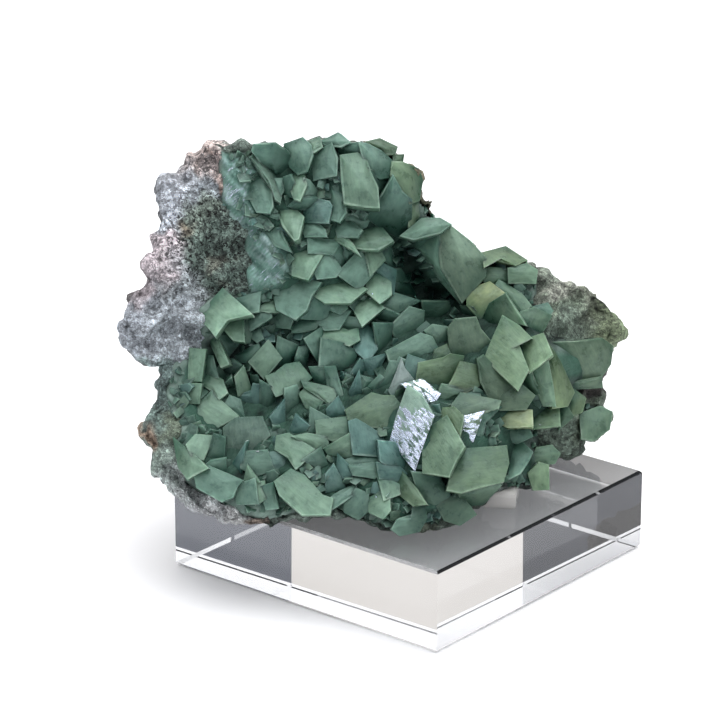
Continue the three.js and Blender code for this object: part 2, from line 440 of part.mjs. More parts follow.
function named(name, geometry, look) {
  const mesh = new THREE.Mesh(geometry, new THREE.MeshStandardMaterial(look));
  mesh.name = name;
  return mesh;
}

const radians = THREE.MathUtils.degToRad;

const stand = new THREE.Group();
const block = named(
  'acrylic_block',
  roundedBox([BLOCK_SIDE, BLOCK_SIDE, BLOCK_HEIGHT], BLOCK_BEVEL, 1),
  LOOK.acrylic,
);
block.position.z = BLOCK_HEIGHT / 2;
block.rotation.z = radians(BLOCK_TURN);
stand.add(block);

const pad = named('mounting_gel', roundedBox(PAD_SIZE, PAD_ROUNDING, 3), LOOK.pad);
pad.position.set(...PAD_CENTRE);
pad.rotation.z = radians(PAD_TURN);
stand.add(pad);

const specimen = new THREE.Group();
specimen.position.set(...FACE_CENTRE);
specimen.rotation.x = radians(90 - FACE_LEAN);
specimen.updateMatrixWorld();
const toSpecimen = specimen.matrixWorld.clone().invert();

const padRoom = roundedBox(PAD_SIZE.map((side) => side + 2 * GAP), PAD_ROUNDING + GAP, 3);
padRoom.rotateZ(radians(PAD_TURN)).translate(...PAD_CENTRE).applyMatrix4(toSpecimen);
const { rock, crust } = specimenGeometries(toSpecimen, solidOf(padRoom));
specimen.add(named('basalt_matrix', rock, LOOK.basalt));
specimen.add(named('heulandite_crust', crust, LOOK.heulandite));

const object = new THREE.Group();
object.add(stand, specimen);
export default object;
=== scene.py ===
"""A heulandite specimen: green crystals on a basalt matrix, on a clear acrylic block."""
import bpy
import numpy as np
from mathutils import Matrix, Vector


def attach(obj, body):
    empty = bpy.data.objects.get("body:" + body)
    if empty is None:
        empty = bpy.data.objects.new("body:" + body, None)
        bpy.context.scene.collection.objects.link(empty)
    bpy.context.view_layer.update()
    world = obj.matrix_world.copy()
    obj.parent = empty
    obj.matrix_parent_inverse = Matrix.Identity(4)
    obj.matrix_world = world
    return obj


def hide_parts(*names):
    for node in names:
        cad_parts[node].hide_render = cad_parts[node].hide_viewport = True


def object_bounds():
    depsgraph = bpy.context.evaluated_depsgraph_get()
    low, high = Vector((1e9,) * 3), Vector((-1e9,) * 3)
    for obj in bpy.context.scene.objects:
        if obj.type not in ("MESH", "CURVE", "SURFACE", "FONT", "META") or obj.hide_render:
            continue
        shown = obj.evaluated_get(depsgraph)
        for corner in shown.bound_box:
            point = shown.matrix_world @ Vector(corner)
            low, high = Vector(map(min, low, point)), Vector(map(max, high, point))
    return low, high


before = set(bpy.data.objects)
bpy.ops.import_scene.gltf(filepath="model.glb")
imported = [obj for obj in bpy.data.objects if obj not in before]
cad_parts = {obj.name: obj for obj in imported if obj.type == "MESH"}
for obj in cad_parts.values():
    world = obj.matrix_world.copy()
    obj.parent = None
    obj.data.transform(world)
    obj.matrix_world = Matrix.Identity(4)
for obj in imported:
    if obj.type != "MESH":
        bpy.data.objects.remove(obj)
cad_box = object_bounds()
scene = bpy.context.scene

# The camera stands at the photograph's angle: level with no roll, 0.82 m off, looking down
# by the angle that the display face leans back.
FACE_LEAN = np.radians(19.9)
camera = bpy.data.objects.new("camera", bpy.data.cameras.new("camera"))
camera.data.lens = 170
camera.data.sensor_width = 36
camera.data.clip_start = 0.02
camera.location = (-0.012, -0.7587, 0.325)
camera.rotation_euler = (np.pi / 2 - FACE_LEAN, 0, 0)
scene.collection.objects.link(camera)
scene.camera = camera
scene.view_settings.view_transform = "Standard"


# The floor and the light: a white table, two wide soft lights, at the upper right and overhead,
# and a pale room, darker to both sides behind the object, as a studio's corners are.
def linear(hex_colour):
    """The linear colour, with alpha, of an sRGB hex value such as '8FA68F'."""
    srgb = np.array([int(hex_colour[i:i + 2], 16) for i in (0, 2, 4)]) / 255
    low = srgb / 12.92
    high = ((srgb + 0.055) / 1.055) ** 2.4
    return (*np.where(srgb <= 0.04045, low, high), 1.0)


def add(tree, kind, settings=None, stops=(), **links):
    """Adds a node: settings are its own properties, stops the positions and colours of a colour
    ramp, and links its sockets' values or sources."""
    node = tree.nodes.new(kind)
    for name, value in (settings or {}).items():
        setattr(node, name, value)
    for n, (position, colour) in enumerate(stops):
        element = node.color_ramp.elements[n] if n < 2 else node.color_ramp.elements.new(position)
        element.position, element.color = position, colour
    for name, value in links.items():
        key = int(name[1:]) if name[1:].isdigit() and name[0] == "i" else name.replace("_", " ")
        socket = node.inputs[key]
        if isinstance(value, bpy.types.NodeSocket):
            tree.links.new(value, socket)
        else:
            socket.default_value = value
    return node


def new_material(name):
    """An empty node material and its tree."""
    material = bpy.data.materials.new(name)
    material.use_nodes = True
    material.node_tree.nodes.clear()
    return material, material.node_tree


def mesh_piece(name, points, faces, smooth_angle=None):
    """A new object from an array of points in metres and a list of face index tuples or arrays."""
    mesh = bpy.data.meshes.new(name)
    mesh.from_pydata(np.asarray(points).tolist(), [], [list(face) for face in faces])
    mesh.update()
    if smooth_angle is not None:
        mesh.shade_smooth()
        mesh.set_sharp_from_angle(angle=smooth_angle)
    piece = bpy.data.objects.new(name, mesh)
    scene.collection.objects.link(piece)
    return piece


FLOOR_HALF = 3.0
AIR_FILM = 0.0002           # between the table and the block's polished underside
floor = mesh_piece("table", [(x * FLOOR_HALF, y * FLOOR_HALF, -AIR_FILM)
                             for x, y in ((-1, -1), (1, -1), (1, 1), (-1, 1))], [(0, 1, 2, 3)])
# The table is a matt white board. It shows no highlight and is lit so evenly that it looks plain.
table_white, tree = new_material("white_table")
table_shader = add(tree, "ShaderNodeBsdfPrincipled", Base_Color=linear("FAFAFB"), Roughness=0.6,
                   Emission_Color=(1, 1, 1, 1), Emission_Strength=0.12)
add(tree, "ShaderNodeOutputMaterial", Surface=table_shader.outputs[0])
floor.data.materials.append(table_white)

for name, stand, aim, size, power in (
        ("key_light", (0.35, -0.2, 1.2), (0, 0, 0.05), 1.3, 9.6),
        ("top_light", (-0.15, 0.3, 1.25), (0, 0, 0.05), 1.3, 8.5)):
    light = bpy.data.lights.new(name, "AREA")
    light.size = size
    light.energy = power
    lamp = bpy.data.objects.new(name, light)
    lamp.location = stand
    direction = np.array(aim) - np.array(stand)
    distance = np.linalg.norm(direction)
    lamp.rotation_euler = (np.arccos(-direction[2] / distance), 0,
                           np.arctan2(direction[1], direction[0]) - np.pi / 2)
    scene.collection.objects.link(lamp)

# The room: white overhead and behind the object, grey at the right and darker at the left, which
# the block's sides show by total reflection.
room = bpy.data.worlds.new("room")
scene.world = room
room.use_nodes = True
tree = room.node_tree
tree.nodes.clear()
toward = add(tree, "ShaderNodeTexCoord")
axes = add(tree, "ShaderNodeSeparateXYZ", Vector=toward.outputs["Generated"])
from_left = add(tree, "ShaderNodeMapRange", Value=axes.outputs["X"], i1=-1.0, i2=1.0)
across = add(tree, "ShaderNodeValToRGB", Fac=from_left.outputs[0],
             stops=[(position, linear(colour)) for position, colour in (
                 (0.12, "52545B"), (0.3, "E4E2E0"), (0.5, "FFFAF5"), (0.7, "F0ECE8"),
                 (0.88, "7A7D86"))])
overhead = add(tree, "ShaderNodeMapRange", {"interpolation_type": "SMOOTHSTEP"},
               Value=axes.outputs["Z"], i1=0.42, i2=0.75)
ahead = add(tree, "ShaderNodeMapRange", {"interpolation_type": "SMOOTHSTEP"},
            Value=axes.outputs["Y"], i1=-0.7, i2=-0.25)
front_tone = add(tree, "ShaderNodeMix", {"data_type": "RGBA"}, i0=ahead.outputs[0],
                 i6=linear("A9ABB0"), i7=across.outputs["Color"])
sky_tone = add(tree, "ShaderNodeMix", {"data_type": "RGBA"}, i0=overhead.outputs[0],
               i6=front_tone.outputs[2], i7=linear("FAFBFF"))
background = add(tree, "ShaderNodeBackground", Color=sky_tone.outputs[2], Strength=1.06)
add(tree, "ShaderNodeOutputWorld", Surface=background.outputs[0])


# The display block: one piece of clear cast acrylic with polished faces and narrow bevels.
# The CAD solid has its true shape, so it keeps it. Polished cast acrylic is as clear as glass,
# with bright edges and dark sides by total reflection; the grey in its colour is painted shade,
# which dims the shadowed table and the room seen through it.
acrylic, tree = new_material("clear_cast_acrylic")
acrylic_shader = add(tree, "ShaderNodeBsdfPrincipled", Base_Color=linear("DFE0E1"), Roughness=0.01,
                     IOR=1.491, Transmission_Weight=1.0)
add(tree, "ShaderNodeOutputMaterial", Surface=acrylic_shader.outputs[0])
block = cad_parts["acrylic_block"]
block.data.materials.clear()
block.data.materials.append(acrylic)


# The gel pad: a small soft clear pad under the rock's edge, pressed flat, with a rounded rim.
# Soft mounting gel is slightly milky and glossy.
gel, tree = new_material("clear_mounting_gel")
gel_shader = add(tree, "ShaderNodeBsdfPrincipled", Base_Color=linear("EDEAE6"), Roughness=0.15,
                 IOR=1.41, Transmission_Weight=0.3)
add(tree, "ShaderNodeOutputMaterial", Surface=gel_shader.outputs[0])
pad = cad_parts["mounting_gel"]
pad.data.materials.clear()
pad.data.materials.append(gel)


# The rock: a broken piece of dark basalt, bare at the left, along the lower lip, at the
# right end and behind, where grains of pale zeolite and rusty clay coat it. The crystals grew on it.
FACE_CENTRE = np.array([-12.0, 12.3, 45.9])     # the origin of the display face, in mm
VIEW_DISTANCE = 820.0       # from the camera to that origin, in mm
ROCK_FOOT = 20.35           # the height of the rock's flat foot, in mm


def to_world(local):
    """Points of the display face's frame (u right, v up, w out, mm) in the row frame, in metres,
    with those that would lie under the block's top raised to just over it."""
    lean = np.pi / 2 - FACE_LEAN
    c, s = np.cos(lean), np.sin(lean)
    turn = np.array([[1, 0, 0], [0, c, -s], [0, s, c]])
    world = (local @ turn.T + FACE_CENTRE) / 1000
    world[:, 2] = np.maximum(world[:, 2], ROCK_FOOT / 1000)
    return world


def place(u, v, w):
    """Where a point seen at (u, v) from the viewing distance lies when it stands out by w."""
    closeness = 1 - w / VIEW_DISTANCE
    return np.stack([u * closeness, v * closeness, w + 0 * u], -1)


def rgb(hex_colour):
    """The linear colour of an sRGB hex value, as an array of three."""
    return np.array(linear(hex_colour)[:3])


def random_at(cells, seed):
    """One repeatable number from 0 to 1 for each whole-number cell: a mixed product of its indices."""
    n = cells.astype(np.int64) @ np.array([73856093, 19349663, 83492791]) + seed * 2654435761
    n = ((n ^ (n >> 13)) * 1274126177) & 0xFFFFFFFF
    n = ((n ^ (n >> 15)) * 2246822519) & 0xFFFFFFFF
    return ((n ^ (n >> 16)) & 0xFFFFFF) / 0xFFFFFF


def swirl(points, size, seed):
    """Smooth noise from -1 to 1: random values at the corners of cells, blended between them."""
    scaled = np.asarray(points) / size
    cell = np.floor(scaled)
    part = scaled - cell
    part = part * part * (3 - 2 * part)
    total = 0
    for corner in np.ndindex(2, 2, 2):
        weight = np.prod(np.where(corner, part, 1 - part), -1)
        total = total + weight * random_at(cell + corner, seed)
    return 2 * total - 1


def pebbles(points, size, seed):
    """Rounded grains from 0 to 1: one less the squared distance to the nearest jittered centre."""
    scaled = np.asarray(points) / size
    cell = np.floor(scaled)
    nearest = np.full(len(scaled), 9.0)
    for step in np.ndindex(3, 3, 3):
        near = cell + step - 1
        centre = near + np.stack([random_at(near, seed + k) for k in range(3)], -1)
        nearest = np.minimum(nearest, ((scaled - centre) ** 2).sum(-1))
    return np.clip(1 - nearest, 0, 1)


def inside(u, v, outline):
    """Whether each point lies inside the outline, by counting crossings to its right."""
    odd = np.zeros(np.shape(u), bool)
    u1, v1 = outline[:, 0], outline[:, 1]
    u0, v0 = np.roll(u1, 1), np.roll(v1, 1)
    for a, b, c, d in zip(u0, v0, u1, v1):
        if b != d:
            odd ^= ((b > v) != (d > v)) & (u < (a - c) * (v - d) / (b - d) + c)
    return odd


def depth_inside(u, v, outline):
    """How far each point lies inside the outline, in mm, and below zero outside it: the least
    distance to any of its edges."""
    start, end = outline, np.roll(outline, -1, 0)
    nearest = np.full(np.shape(u), 1e9)
    for (a, b), (c, d) in zip(start, end):
        along = ((u - a) * (c - a) + (v - b) * (d - b)) / max((c - a) ** 2 + (d - b) ** 2, 1e-9)
        along = np.clip(along, 0, 1)
        nearest = np.minimum(nearest, np.hypot(u - a - along * (c - a), v - b - along * (d - b)))
    return np.where(inside(u, v, outline), nearest, -nearest)


# The specimen's outline in the display face (u, v in mm), counter-clockwise from the top.
OUTLINE = np.array([
    (-7.2, 53.4), (-10.2, 53.2), (-13.9, 53.0), (-18, 51.8), (-24.8, 52), (-27.5, 52.5), (-31.2, 52.3),
    (-33.6, 52.5), (-35.3, 53.3), (-37.3, 53), (-40, 50.9), (-42.4, 50.4), (-42.7, 47.8), (-44.7, 46.4),
    (-47.4, 44.4), (-49.3, 43.3), (-49.5, 38.9), (-48.3, 36.6), (-48.1, 34.2), (-49.1, 30.9),
    (-50.2, 28.1), (-52.2, 25.1), (-52.7, 22), (-52.7, 18.3), (-54.2, 17.6), (-56.1, 14.6),
    (-55.9, 12.5), (-57.6, 9.5), (-58.8, 7.5), (-57.7, 5.9), (-57.2, 3.5), (-55.9, 1.5),
    (-53.8, -0.2), (-51.3, -1.2), (-47.8, -0.6), (-49.1, -2.2), (-49.8, -4.9), (-49.6, -8),
    (-50.6, -11), (-51.3, -13.7), (-52.8, -15.4), (-54, -18.1), (-52.8, -20.1), (-51.4, -23.2),
    (-49.4, -27.3), (-46.7, -30.3), (-44.9, -32.8), (-42.2, -35.2), (-38.6, -37.6), (-36.2, -38.6),
    (-31.4, -39.8), (-26.5, -41), (-23.6, -41), (-20.5, -40.3), (-16.9, -38.6), (-9.6, -38.8),
    (-2.4, -38.8), (1.2, -39.6), (4.8, -41), (8.4, -42.4), (10.9, -42.7), (14.5, -41.7), (19.3, -42),
    (22.9, -40.5), (26.5, -37.4), (28.9, -35), (35, -31.4), (37.4, -31.1), (42.7, -31.1),
    (44.6, -30.9), (45.3, -29.4), (45.3, -26.5), (44.9, -24.8), (47.5, -23.9), (49.4, -23.4),
    (52.1, -22.9), (53.1, -21.7), (53.8, -19.8), (55, -18.3), (56.4, -19.3), (57.9, -18.3),
    (59.3, -17.1), (60.1, -15.7), (60.8, -13.3), (58.6, -11.1), (59.4, -8.8), (58.2, -5.3),
    (60.2, -1.2), (61.1, 3.1), (63.7, 6.8), (62.7, 10.4), (60.7, 13.2), (57.7, 16.3), (55.9, 17.5),
    (48.2, 19.1), (44.8, 20.5), (42.2, 21.7), (38.6, 24.8), (34, 26.8), (31.4, 26.3), (29.9, 25.1),
    (28.9, 26.5), (27.5, 28), (26, 28.2), (21.7, 32.8), (18.3, 34), (17.1, 36.2), (17.8, 38.6),
    (15.4, 38.8), (14.5, 41), (14.7, 43.5), (13.8, 45.8), (12, 46.8), (10, 47.8), (10.3, 49.3),
    (8.5, 49.2), (8.5, 51.5), (5, 53), (2, 52.6), (-2.2, 53.4),
])
CRUST_OUTLINE = np.array([
    (-6, 53.2), (-14, 52.2), (-25, 51.2), (-33.4, 51), (-33.8, 41), (-32.8, 34), (-27.6, 31),
    (-27.4, 17), (-33.5, 16.2), (-39.4, 12.6), (-39, 9.4), (-37.5, 5), (-41.4, 2.6), (-45, -1),
    (-46.5, -8), (-45.6, -13), (-44, -16), (-45, -19.6), (-44.2, -24), (-42, -29),
    (-37.6, -32.2), (-33, -34.8), (-28, -37.2), (-22, -38.4), (-16, -36.6), (-9, -37.4),
    (-2, -38), (5, -40.4), (11, -41.8), (15, -40.2), (22, -38.8), (28, -34.6), (35, -30.8),
    (44, -30.4), (44.6, -25), (47.6, -22.8), (42.6, -21), (43, -17), (48.2, -16.4), (50, -12.6),
    (52.6, -14.2), (54, -18), (57, -18.2), (60, -13.4), (54, -10), (52, -7.4), (57.4, -5.6),
    (59.6, -1), (60.4, 3.4), (58, 4.8), (47, 4.6), (45, 7), (45.8, 12.4), (42, 13.4), (42.4, 20.6),
    (38.2, 24), (33.6, 26), (29.8, 24.6), (26, 27.4), (21, 32.2), (17, 35.6), (14, 42),
    (11.4, 46.2), (8, 50), (2, 51.4),
])
# How far the display face stands out (w), as (u, v, w) in mm, blended smoothly in between.
RELIEF_RADIUS = 6.5
RELIEF = np.array([
    (-38, 50, 11), (-24, 50, 14), (-10, 51, 13), (4, 51, 12), (12, 44, 9), (-4, 42, 18),
    (8, 37, 11), (-28, 42, 14), (-44, 42, 14), (-46, 30, 17), (-38, 30, 12), (-18, 40, 16),
    (-30, 22, 12), (-48, 18, 22), (-55, 10, 24), (-44, 10, 25), (-32, 12, 17), (-20, 28, 15),
    (-12, 24, 14), (-17, 15, 12), (-8, 16, 12), (2, 26, 12), (3, 18, 10), (-18, 5, 6),
    (-8, 8, 9), (4, 10, 6), (11, 22, 0), (17, 17, -10), (18, 24, -4), (24, 28, 0), (24, 18, -3),
    (34, 22, 2), (30, 13, 8), (14, 8, 9), (24, 4, 14), (36, 2, 20), (40, 13, 7), (44, -2, 16),
    (50, 12, -1), (60, 8, -5), (56, 0, 1), (57, -14, 0), (50, -18, 7), (43, -25, 14),
    (42, -14, 17), (34, -10, 21), (31, -26, 27), (22, -19, 29), (12, -17, 30), (14, -4, 21),
    (24, -3, 21), (0, -12, 21), (0, -2, 10), (-8, -8, 14), (-20, -8, 13), (-22, 1, 9),
    (-34, 0, 10), (-30, -7, 10), (-43, -2, 17), (-48, -9, 24), (-38, -12, 21), (-28, -17, 23),
    (-48, -20, 30), (-40, -24, 31), (-30, -30, 34), (-20, -22, 28), (-16, -31, 34), (-6, -18, 28),
    (-6, -28, 31), (2, -20, 29), (3, -31, 33), (10, -41, 37), (20, -38, 35), (-26, -40, 35),
    (-9, -38, 35), (27, -34, 29), (18, -30, 31), (38, -30, 20),
])
ROCK_BACK = -25.0
ROCK_MIDDLE = np.array([2.0, 4.0])
RIM_SUNK = 4.0
UNDER_CRUST = 5.6           # how far the rock lies under the relief where the crust covers it
BARE_LUMPS, REAR_LUMPS = 1.5, 2.6           # the heights of its broad lumps, in mm


def relief(u, v):
    """The face's height: the relief points, each weighted by a bell curve of its distance."""
    height, total = 0, 0
    for pu, pv, pw in RELIEF:
        distance = np.hypot(u - pu, v - pv) / RELIEF_RADIUS
        share = np.exp(-0.5 * distance ** 2) + 1e-6 / (1 + distance ** 4)
        height, total = height + share * pw, total + share
    return height / total


def lumps(x, y, z):
    """A smooth mix of sine waves, between about -1 and 1, for the rock's broad lumps."""
    return (np.sin(0.43 * x + 1.3 * np.sin(0.21 * y + 0.17 * z)) * 0.45
            + np.sin(0.52 * y - 0.31 * z + 1.9 * np.sin(0.19 * x)) * 0.35
            + np.sin(0.77 * z + 0.36 * x - 0.29 * y) * 0.2)


def step(low, high, x):
    """Rises smoothly from 0 at low to 1 at high."""
    t = np.clip((x - low) / (high - low), 0, 1)
    return t * t * (3 - 2 * t)


def resample(outline, count):
    """The closed outline at evenly spaced points along its length."""
    closed = np.vstack([outline, outline[:1]])
    length = np.concatenate([[0], np.cumsum(np.hypot(*np.diff(closed, axis=0).T))])
    at = np.linspace(0, length[-1], count, endpoint=False)
    return np.stack([np.interp(at, length, closed[:, k]) for k in (0, 1)], -1)


def ring_faces(rings, count, start=0):
    """Quads between closed rings of points, and fans to a pole before the first and after the last."""
    j = np.arange(count)
    following = (j + 1) % count
    first = start + 1
    quads = []
    for i in range(rings - 1):
        a, b = first + i * count, first + (i + 1) * count
        quads.append(np.stack([a + j, b + j, b + following, a + following], -1))
    last = first + rings * count
    fans = [np.stack([np.full(count, start), first + j, first + following], -1),
            np.stack([np.full(count, last), last - count + following, last - count + j], -1)]
    return quads, fans


AROUND = 460
FRONT_SHARES = np.concatenate([np.linspace(0.03, 0.5, 18), np.linspace(0.515, 0.985, 60),
                               [0.993, 0.998]])
REAR_SHARES = np.concatenate([[0.999, 0.995, 0.985], np.linspace(0.97, 0.05, 62)])
rim = resample(OUTLINE, AROUND)
rim_depth = relief(rim[:, 0], rim[:, 1]) - RIM_SUNK


def rock_front(share):
    """The front at a share of the way to the rim: the relief, sunk under the crust and rounded
    down to the rim at the outside."""
    u, v = (ROCK_MIDDLE + (rim - ROCK_MIDDLE) * share).T
    surface = relief(u, v)
    under = step(0.2, 2.6, depth_inside(u, v, CRUST_OUTLINE))
    face = surface - UNDER_CRUST * under + BARE_LUMPS * (1 - under) * lumps(1.7 * u, 1.7 * v, 0)
    shoulder = surface + np.interp(share, [0.6, 0.9, 0.965, 0.993, 1], [9, 5, 1.5, -1.4, -RIM_SUNK])
    return place(u, v, np.minimum(face, shoulder))


def rock_rear(share):
    """The rear: a broken lumpy surface, deepest behind the middle, rounded into the rim."""
    u, v = (ROCK_MIDDLE + (rim - ROCK_MIDDLE) * share).T
    du, dv = u - ROCK_MIDDLE[0], v - ROCK_MIDDLE[1]
    broken = ROCK_BACK + 0.003 * (du ** 2 + 1.5 * dv ** 2) + REAR_LUMPS * lumps(u, 0.9 * v, 4)
    swell = (1 - share ** 2) ** 0.42
    rounded = rim_depth + (1.5 * ROCK_BACK - rim_depth) * swell
    return place(u, v, np.maximum(broken, rounded))


rings = ([rock_front(s) for s in FRONT_SHARES] + [place(*rim.T, rim_depth)]
         + [rock_rear(s) for s in REAR_SHARES])
rock_grid = np.array(rings)
along = np.gradient(rock_grid, axis=0)
across = np.roll(rock_grid, -1, 1) - np.roll(rock_grid, 1, 1)
normals = np.cross(along, across)
normals /= np.linalg.norm(normals, axis=-1, keepdims=True) + 1e-9
flat = rock_grid.reshape(-1, 3)
near_rim = np.concatenate([step(0.8, 1.0, FRONT_SHARES), [1], step(0.8, 1.0, REAR_SHARES)])
near_rim = np.repeat(near_rim, AROUND)
rough = (1.5 * swirl(flat, 7.0, 1) + 1.0 * swirl(flat, 3.2, 2)
         + (1.3 + 1.3 * near_rim) * (pebbles(flat, 3.8, 3) - 0.65) + 0.9 * (pebbles(flat, 1.6, 6) - 0.6))
rough -= 1.0 * near_rim
rock_grid = rock_grid + normals * rough.reshape(rock_grid.shape[:2])[..., None]
poles = [rock_grid[0].mean(0), rock_grid[-1].mean(0)]
rock_points = to_world(np.vstack([poles[:1], rock_grid.reshape(-1, 3), poles[1:]]))
# No grain at the left end stands out past the CAD solid.
rock_points[:, 0] = np.maximum(rock_points[:, 0], cad_box[0][0] + 0.0001)
quads, fans = ring_faces(len(rings), AROUND)
rock = mesh_piece("basalt_rock", rock_points, np.vstack(quads).tolist() + np.vstack(fans).tolist(),
                  smooth_angle=np.radians(180))

# The patches of the rock's coat, as (u, v, radius in mm, sRGB colour): sugary blue-white and
# pinkish zeolite, dark green-black grains, rusty clay, grey-green layers at the right end, and two
# near-black patches of painted shade in the pit under the longest crystal.
COATS = (
    (-52, 10, 9, "CCD3DC"), (-46, 8, 8, "C6CFD6"), (-54, 20, 6, "DCD0D5"), (-47, 24, 7, "D6CACF"),
    (-51, 16, 4, "E0D0D4"), (-48, 36, 7, "CDD3DC"), (-44, 44, 5, "DADEE6"), (-38, 42, 5, "A9B1B8"),
    (-39, 51, 4, "F4E2DC"), (-36, 47.6, 1.2, "9C7C6C"), (-42, 48, 4, "F4E8E6"), (-36, 46, 4, "F0DCD6"),
    (-34.5, 50.5, 2.5, "F0E0DA"), (-34.6, 43, 2, "B89886"),
    (-41, 31, 2.5, "7E6E5C"), (-33, 22, 2.5, "62584C"), (-38, 24, 2.5, "46524C"), (-33, 29, 3, "414E47"),
    (-28, 52, 5, "84948A"), (-18, 52.5, 5, "7A8A7E"), (-6, 53, 5, "7A8A7E"), (5, 52, 5, "84806A"),
    (13, 45, 5, "76725C"), (17, 37, 5, "72745E"), (24, 29, 5, "7A8670"), (34, 26, 5, "7C8A76"),
    (43, 21, 5, "8A9486"),
    (-36, 28, 9, "5C6B64"), (-31, 20, 6, "57665F"), (-38, 35, 5, "6A756C"), (-42, 20, 6, "A3ABAF"),
    (-31, 37, 4, "6B7A76"), (-48, -4, 6, "8FA6A2"), (-49, -12, 5, "8FA69E"), (-52, -17, 4, "DCC0A8"),
    (-43, -17, 5, "7E8C7A"), (-48, -24, 6, "A2B4AA"), (-44, -30, 5, "CCD6D4"), (-38, -35, 6, "D6DADC"),
    (-32, -38, 4, "D4D6D6"), (-25, -40, 4, "AC9C90"), (-12, -39, 7, "7E8E84"), (2, -40, 6, "788A7E"),
    (14, -42, 6, "84907F"), (26, -37, 6, "7E8C80"), (38, -31, 6, "84908A"), (48, -21, 6, "748678"),
    (57, -16, 5, "8A9C88"), (53, 12, 6, "9AAA96"), (60, 8, 6, "96A684"), (48, 18, 4, "BCC0B2"),
    (56, 16, 4, "AEB6A2"), (12, 25, 6, "1A2822"), (16, 17, 6, "1A2822"), (51, 6, 5, "76887A"),
    (50, 10, 3, "86988A"), (56, 10, 3, "B0BCA8"),
)
COAT_REAR = "4A4643"
coat_total = np.full(len(flat), 1e-4)
coat_colour = rgb(COAT_REAR) * coat_total[:, None]
wander = np.stack([swirl(flat, 4.0, k) + 0.5 * swirl(flat, 1.8, k + 4) for k in (11, 12)], -1) * 3
for cu, cv, radius, colour in COATS:
    reach = np.hypot(*(flat[:, :2] + wander - (cu, cv)).T) / radius
    share = np.exp(-2.5 * reach ** 3)
    coat_total += share
    coat_colour += share[:, None] * rgb(colour)
coat_colour /= coat_total[:, None]
behind = step(-8.0, -18.0, flat[:, 2] - relief(flat[:, 0], flat[:, 1]))
coat_colour = coat_colour * (1 - behind[:, None]) + rgb(COAT_REAR) * behind[:, None]
# The grains differ most in the dark patch at the left, and half as much above it.
speckled = np.maximum(np.exp(-(np.hypot(*(flat[:, :2] + wander - (-35, 28)).T) / 13) ** 4),
                      0.5 * np.exp(-(np.hypot(*(flat[:, :2] + wander - (-37, 48)).T) / 7) ** 4))
coat = np.ones((len(rock.data.vertices), 4))
# The coat is painted lighter on the rough surface's crests and darker in its hollows: painted shade.
painted_relief_shade = 1 + 0.22 * np.clip(rough, -2.5, 1.5)
coat[1:-1] = np.hstack([coat_colour * painted_relief_shade[:, None], speckled[:, None]])
coat[0], coat[-1] = coat[1], coat[-2]
rock.data.color_attributes.new("coat", "FLOAT_COLOR", "POINT").data.foreach_set("color", coat.ravel())

# Weathered basalt is dull and gritty. The scales are counts to a metre: the grains are 0.6 mm wide,
# with outlines bent every 0.7 mm, and the blotches are 1.4 mm wide.
GRAINS, GRAIN_BENDS, BLOTCHES = 1700.0, 1400.0, 700.0
MULTIPLIED = {"data_type": "RGBA", "blend_type": "MULTIPLY"}
basalt, tree = new_material("weathered_basalt")
coat_node = add(tree, "ShaderNodeVertexColor", {"layer_name": "coat"})
where = add(tree, "ShaderNodeTexCoord")
bent = add(tree, "ShaderNodeTexNoise", Vector=where.outputs["Object"], Scale=GRAIN_BENDS,
           Detail=5.0)
crooked = add(tree, "ShaderNodeMix", {"data_type": "VECTOR", "blend_type": "MIX"}, i0=0.0024,
              i4=where.outputs["Object"], i5=bent.outputs["Color"])
grains = add(tree, "ShaderNodeTexVoronoi", Vector=crooked.outputs[1], Scale=GRAINS)
blotch = add(tree, "ShaderNodeTexNoise", Vector=where.outputs["Object"], Scale=BLOTCHES, Detail=8.0,
             Roughness=0.75)
speck = add(tree, "ShaderNodeValToRGB", Fac=grains.outputs["Distance"],
            stops=((0, (1.3, 1.3, 1.3, 1)), (1, (0.5, 0.5, 0.5, 1))))
mottle = add(tree, "ShaderNodeValToRGB", Fac=blotch.outputs["Fac"],
             stops=((0.4, (0.5, 0.5, 0.5, 1)), (0.55, (1.25, 1.25, 1.25, 1))))
sugar = add(tree, "ShaderNodeSeparateColor", Color=grains.outputs["Color"])
darkest = add(tree, "ShaderNodeMapRange", Value=coat_node.outputs["Alpha"], i3=0.55, i4=0.02)
brightest = add(tree, "ShaderNodeMapRange", Value=coat_node.outputs["Alpha"], i3=1.4, i4=3.0)
grain_tone = add(tree, "ShaderNodeMapRange", Value=sugar.outputs[0], i1=0.12, i2=0.95,
                 i3=darkest.outputs[0], i4=brightest.outputs[0])
coloured = coat_node.outputs["Color"]
for pattern in (grain_tone, speck, mottle):
    coloured = add(tree, "ShaderNodeMix", MULTIPLIED, i0=1.0, i6=coloured,
                   i7=pattern.outputs[0]).outputs[2]
bump = add(tree, "ShaderNodeBump", {"invert": True}, Strength=1.0, Distance=0.0005,
           Height=grains.outputs["Distance"])
bump = add(tree, "ShaderNodeBump", Strength=0.8, Distance=0.0006, Height=blotch.outputs["Fac"],
           Normal=bump.outputs[0])
rock_shader = add(tree, "ShaderNodeBsdfPrincipled", Base_Color=coloured, Roughness=0.8,
                  Normal=bump.outputs[0])
add(tree, "ShaderNodeOutputMaterial", Surface=rock_shader.outputs[0])
rock.data.materials.append(basalt)
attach(rock, "root")
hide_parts("basalt_matrix")
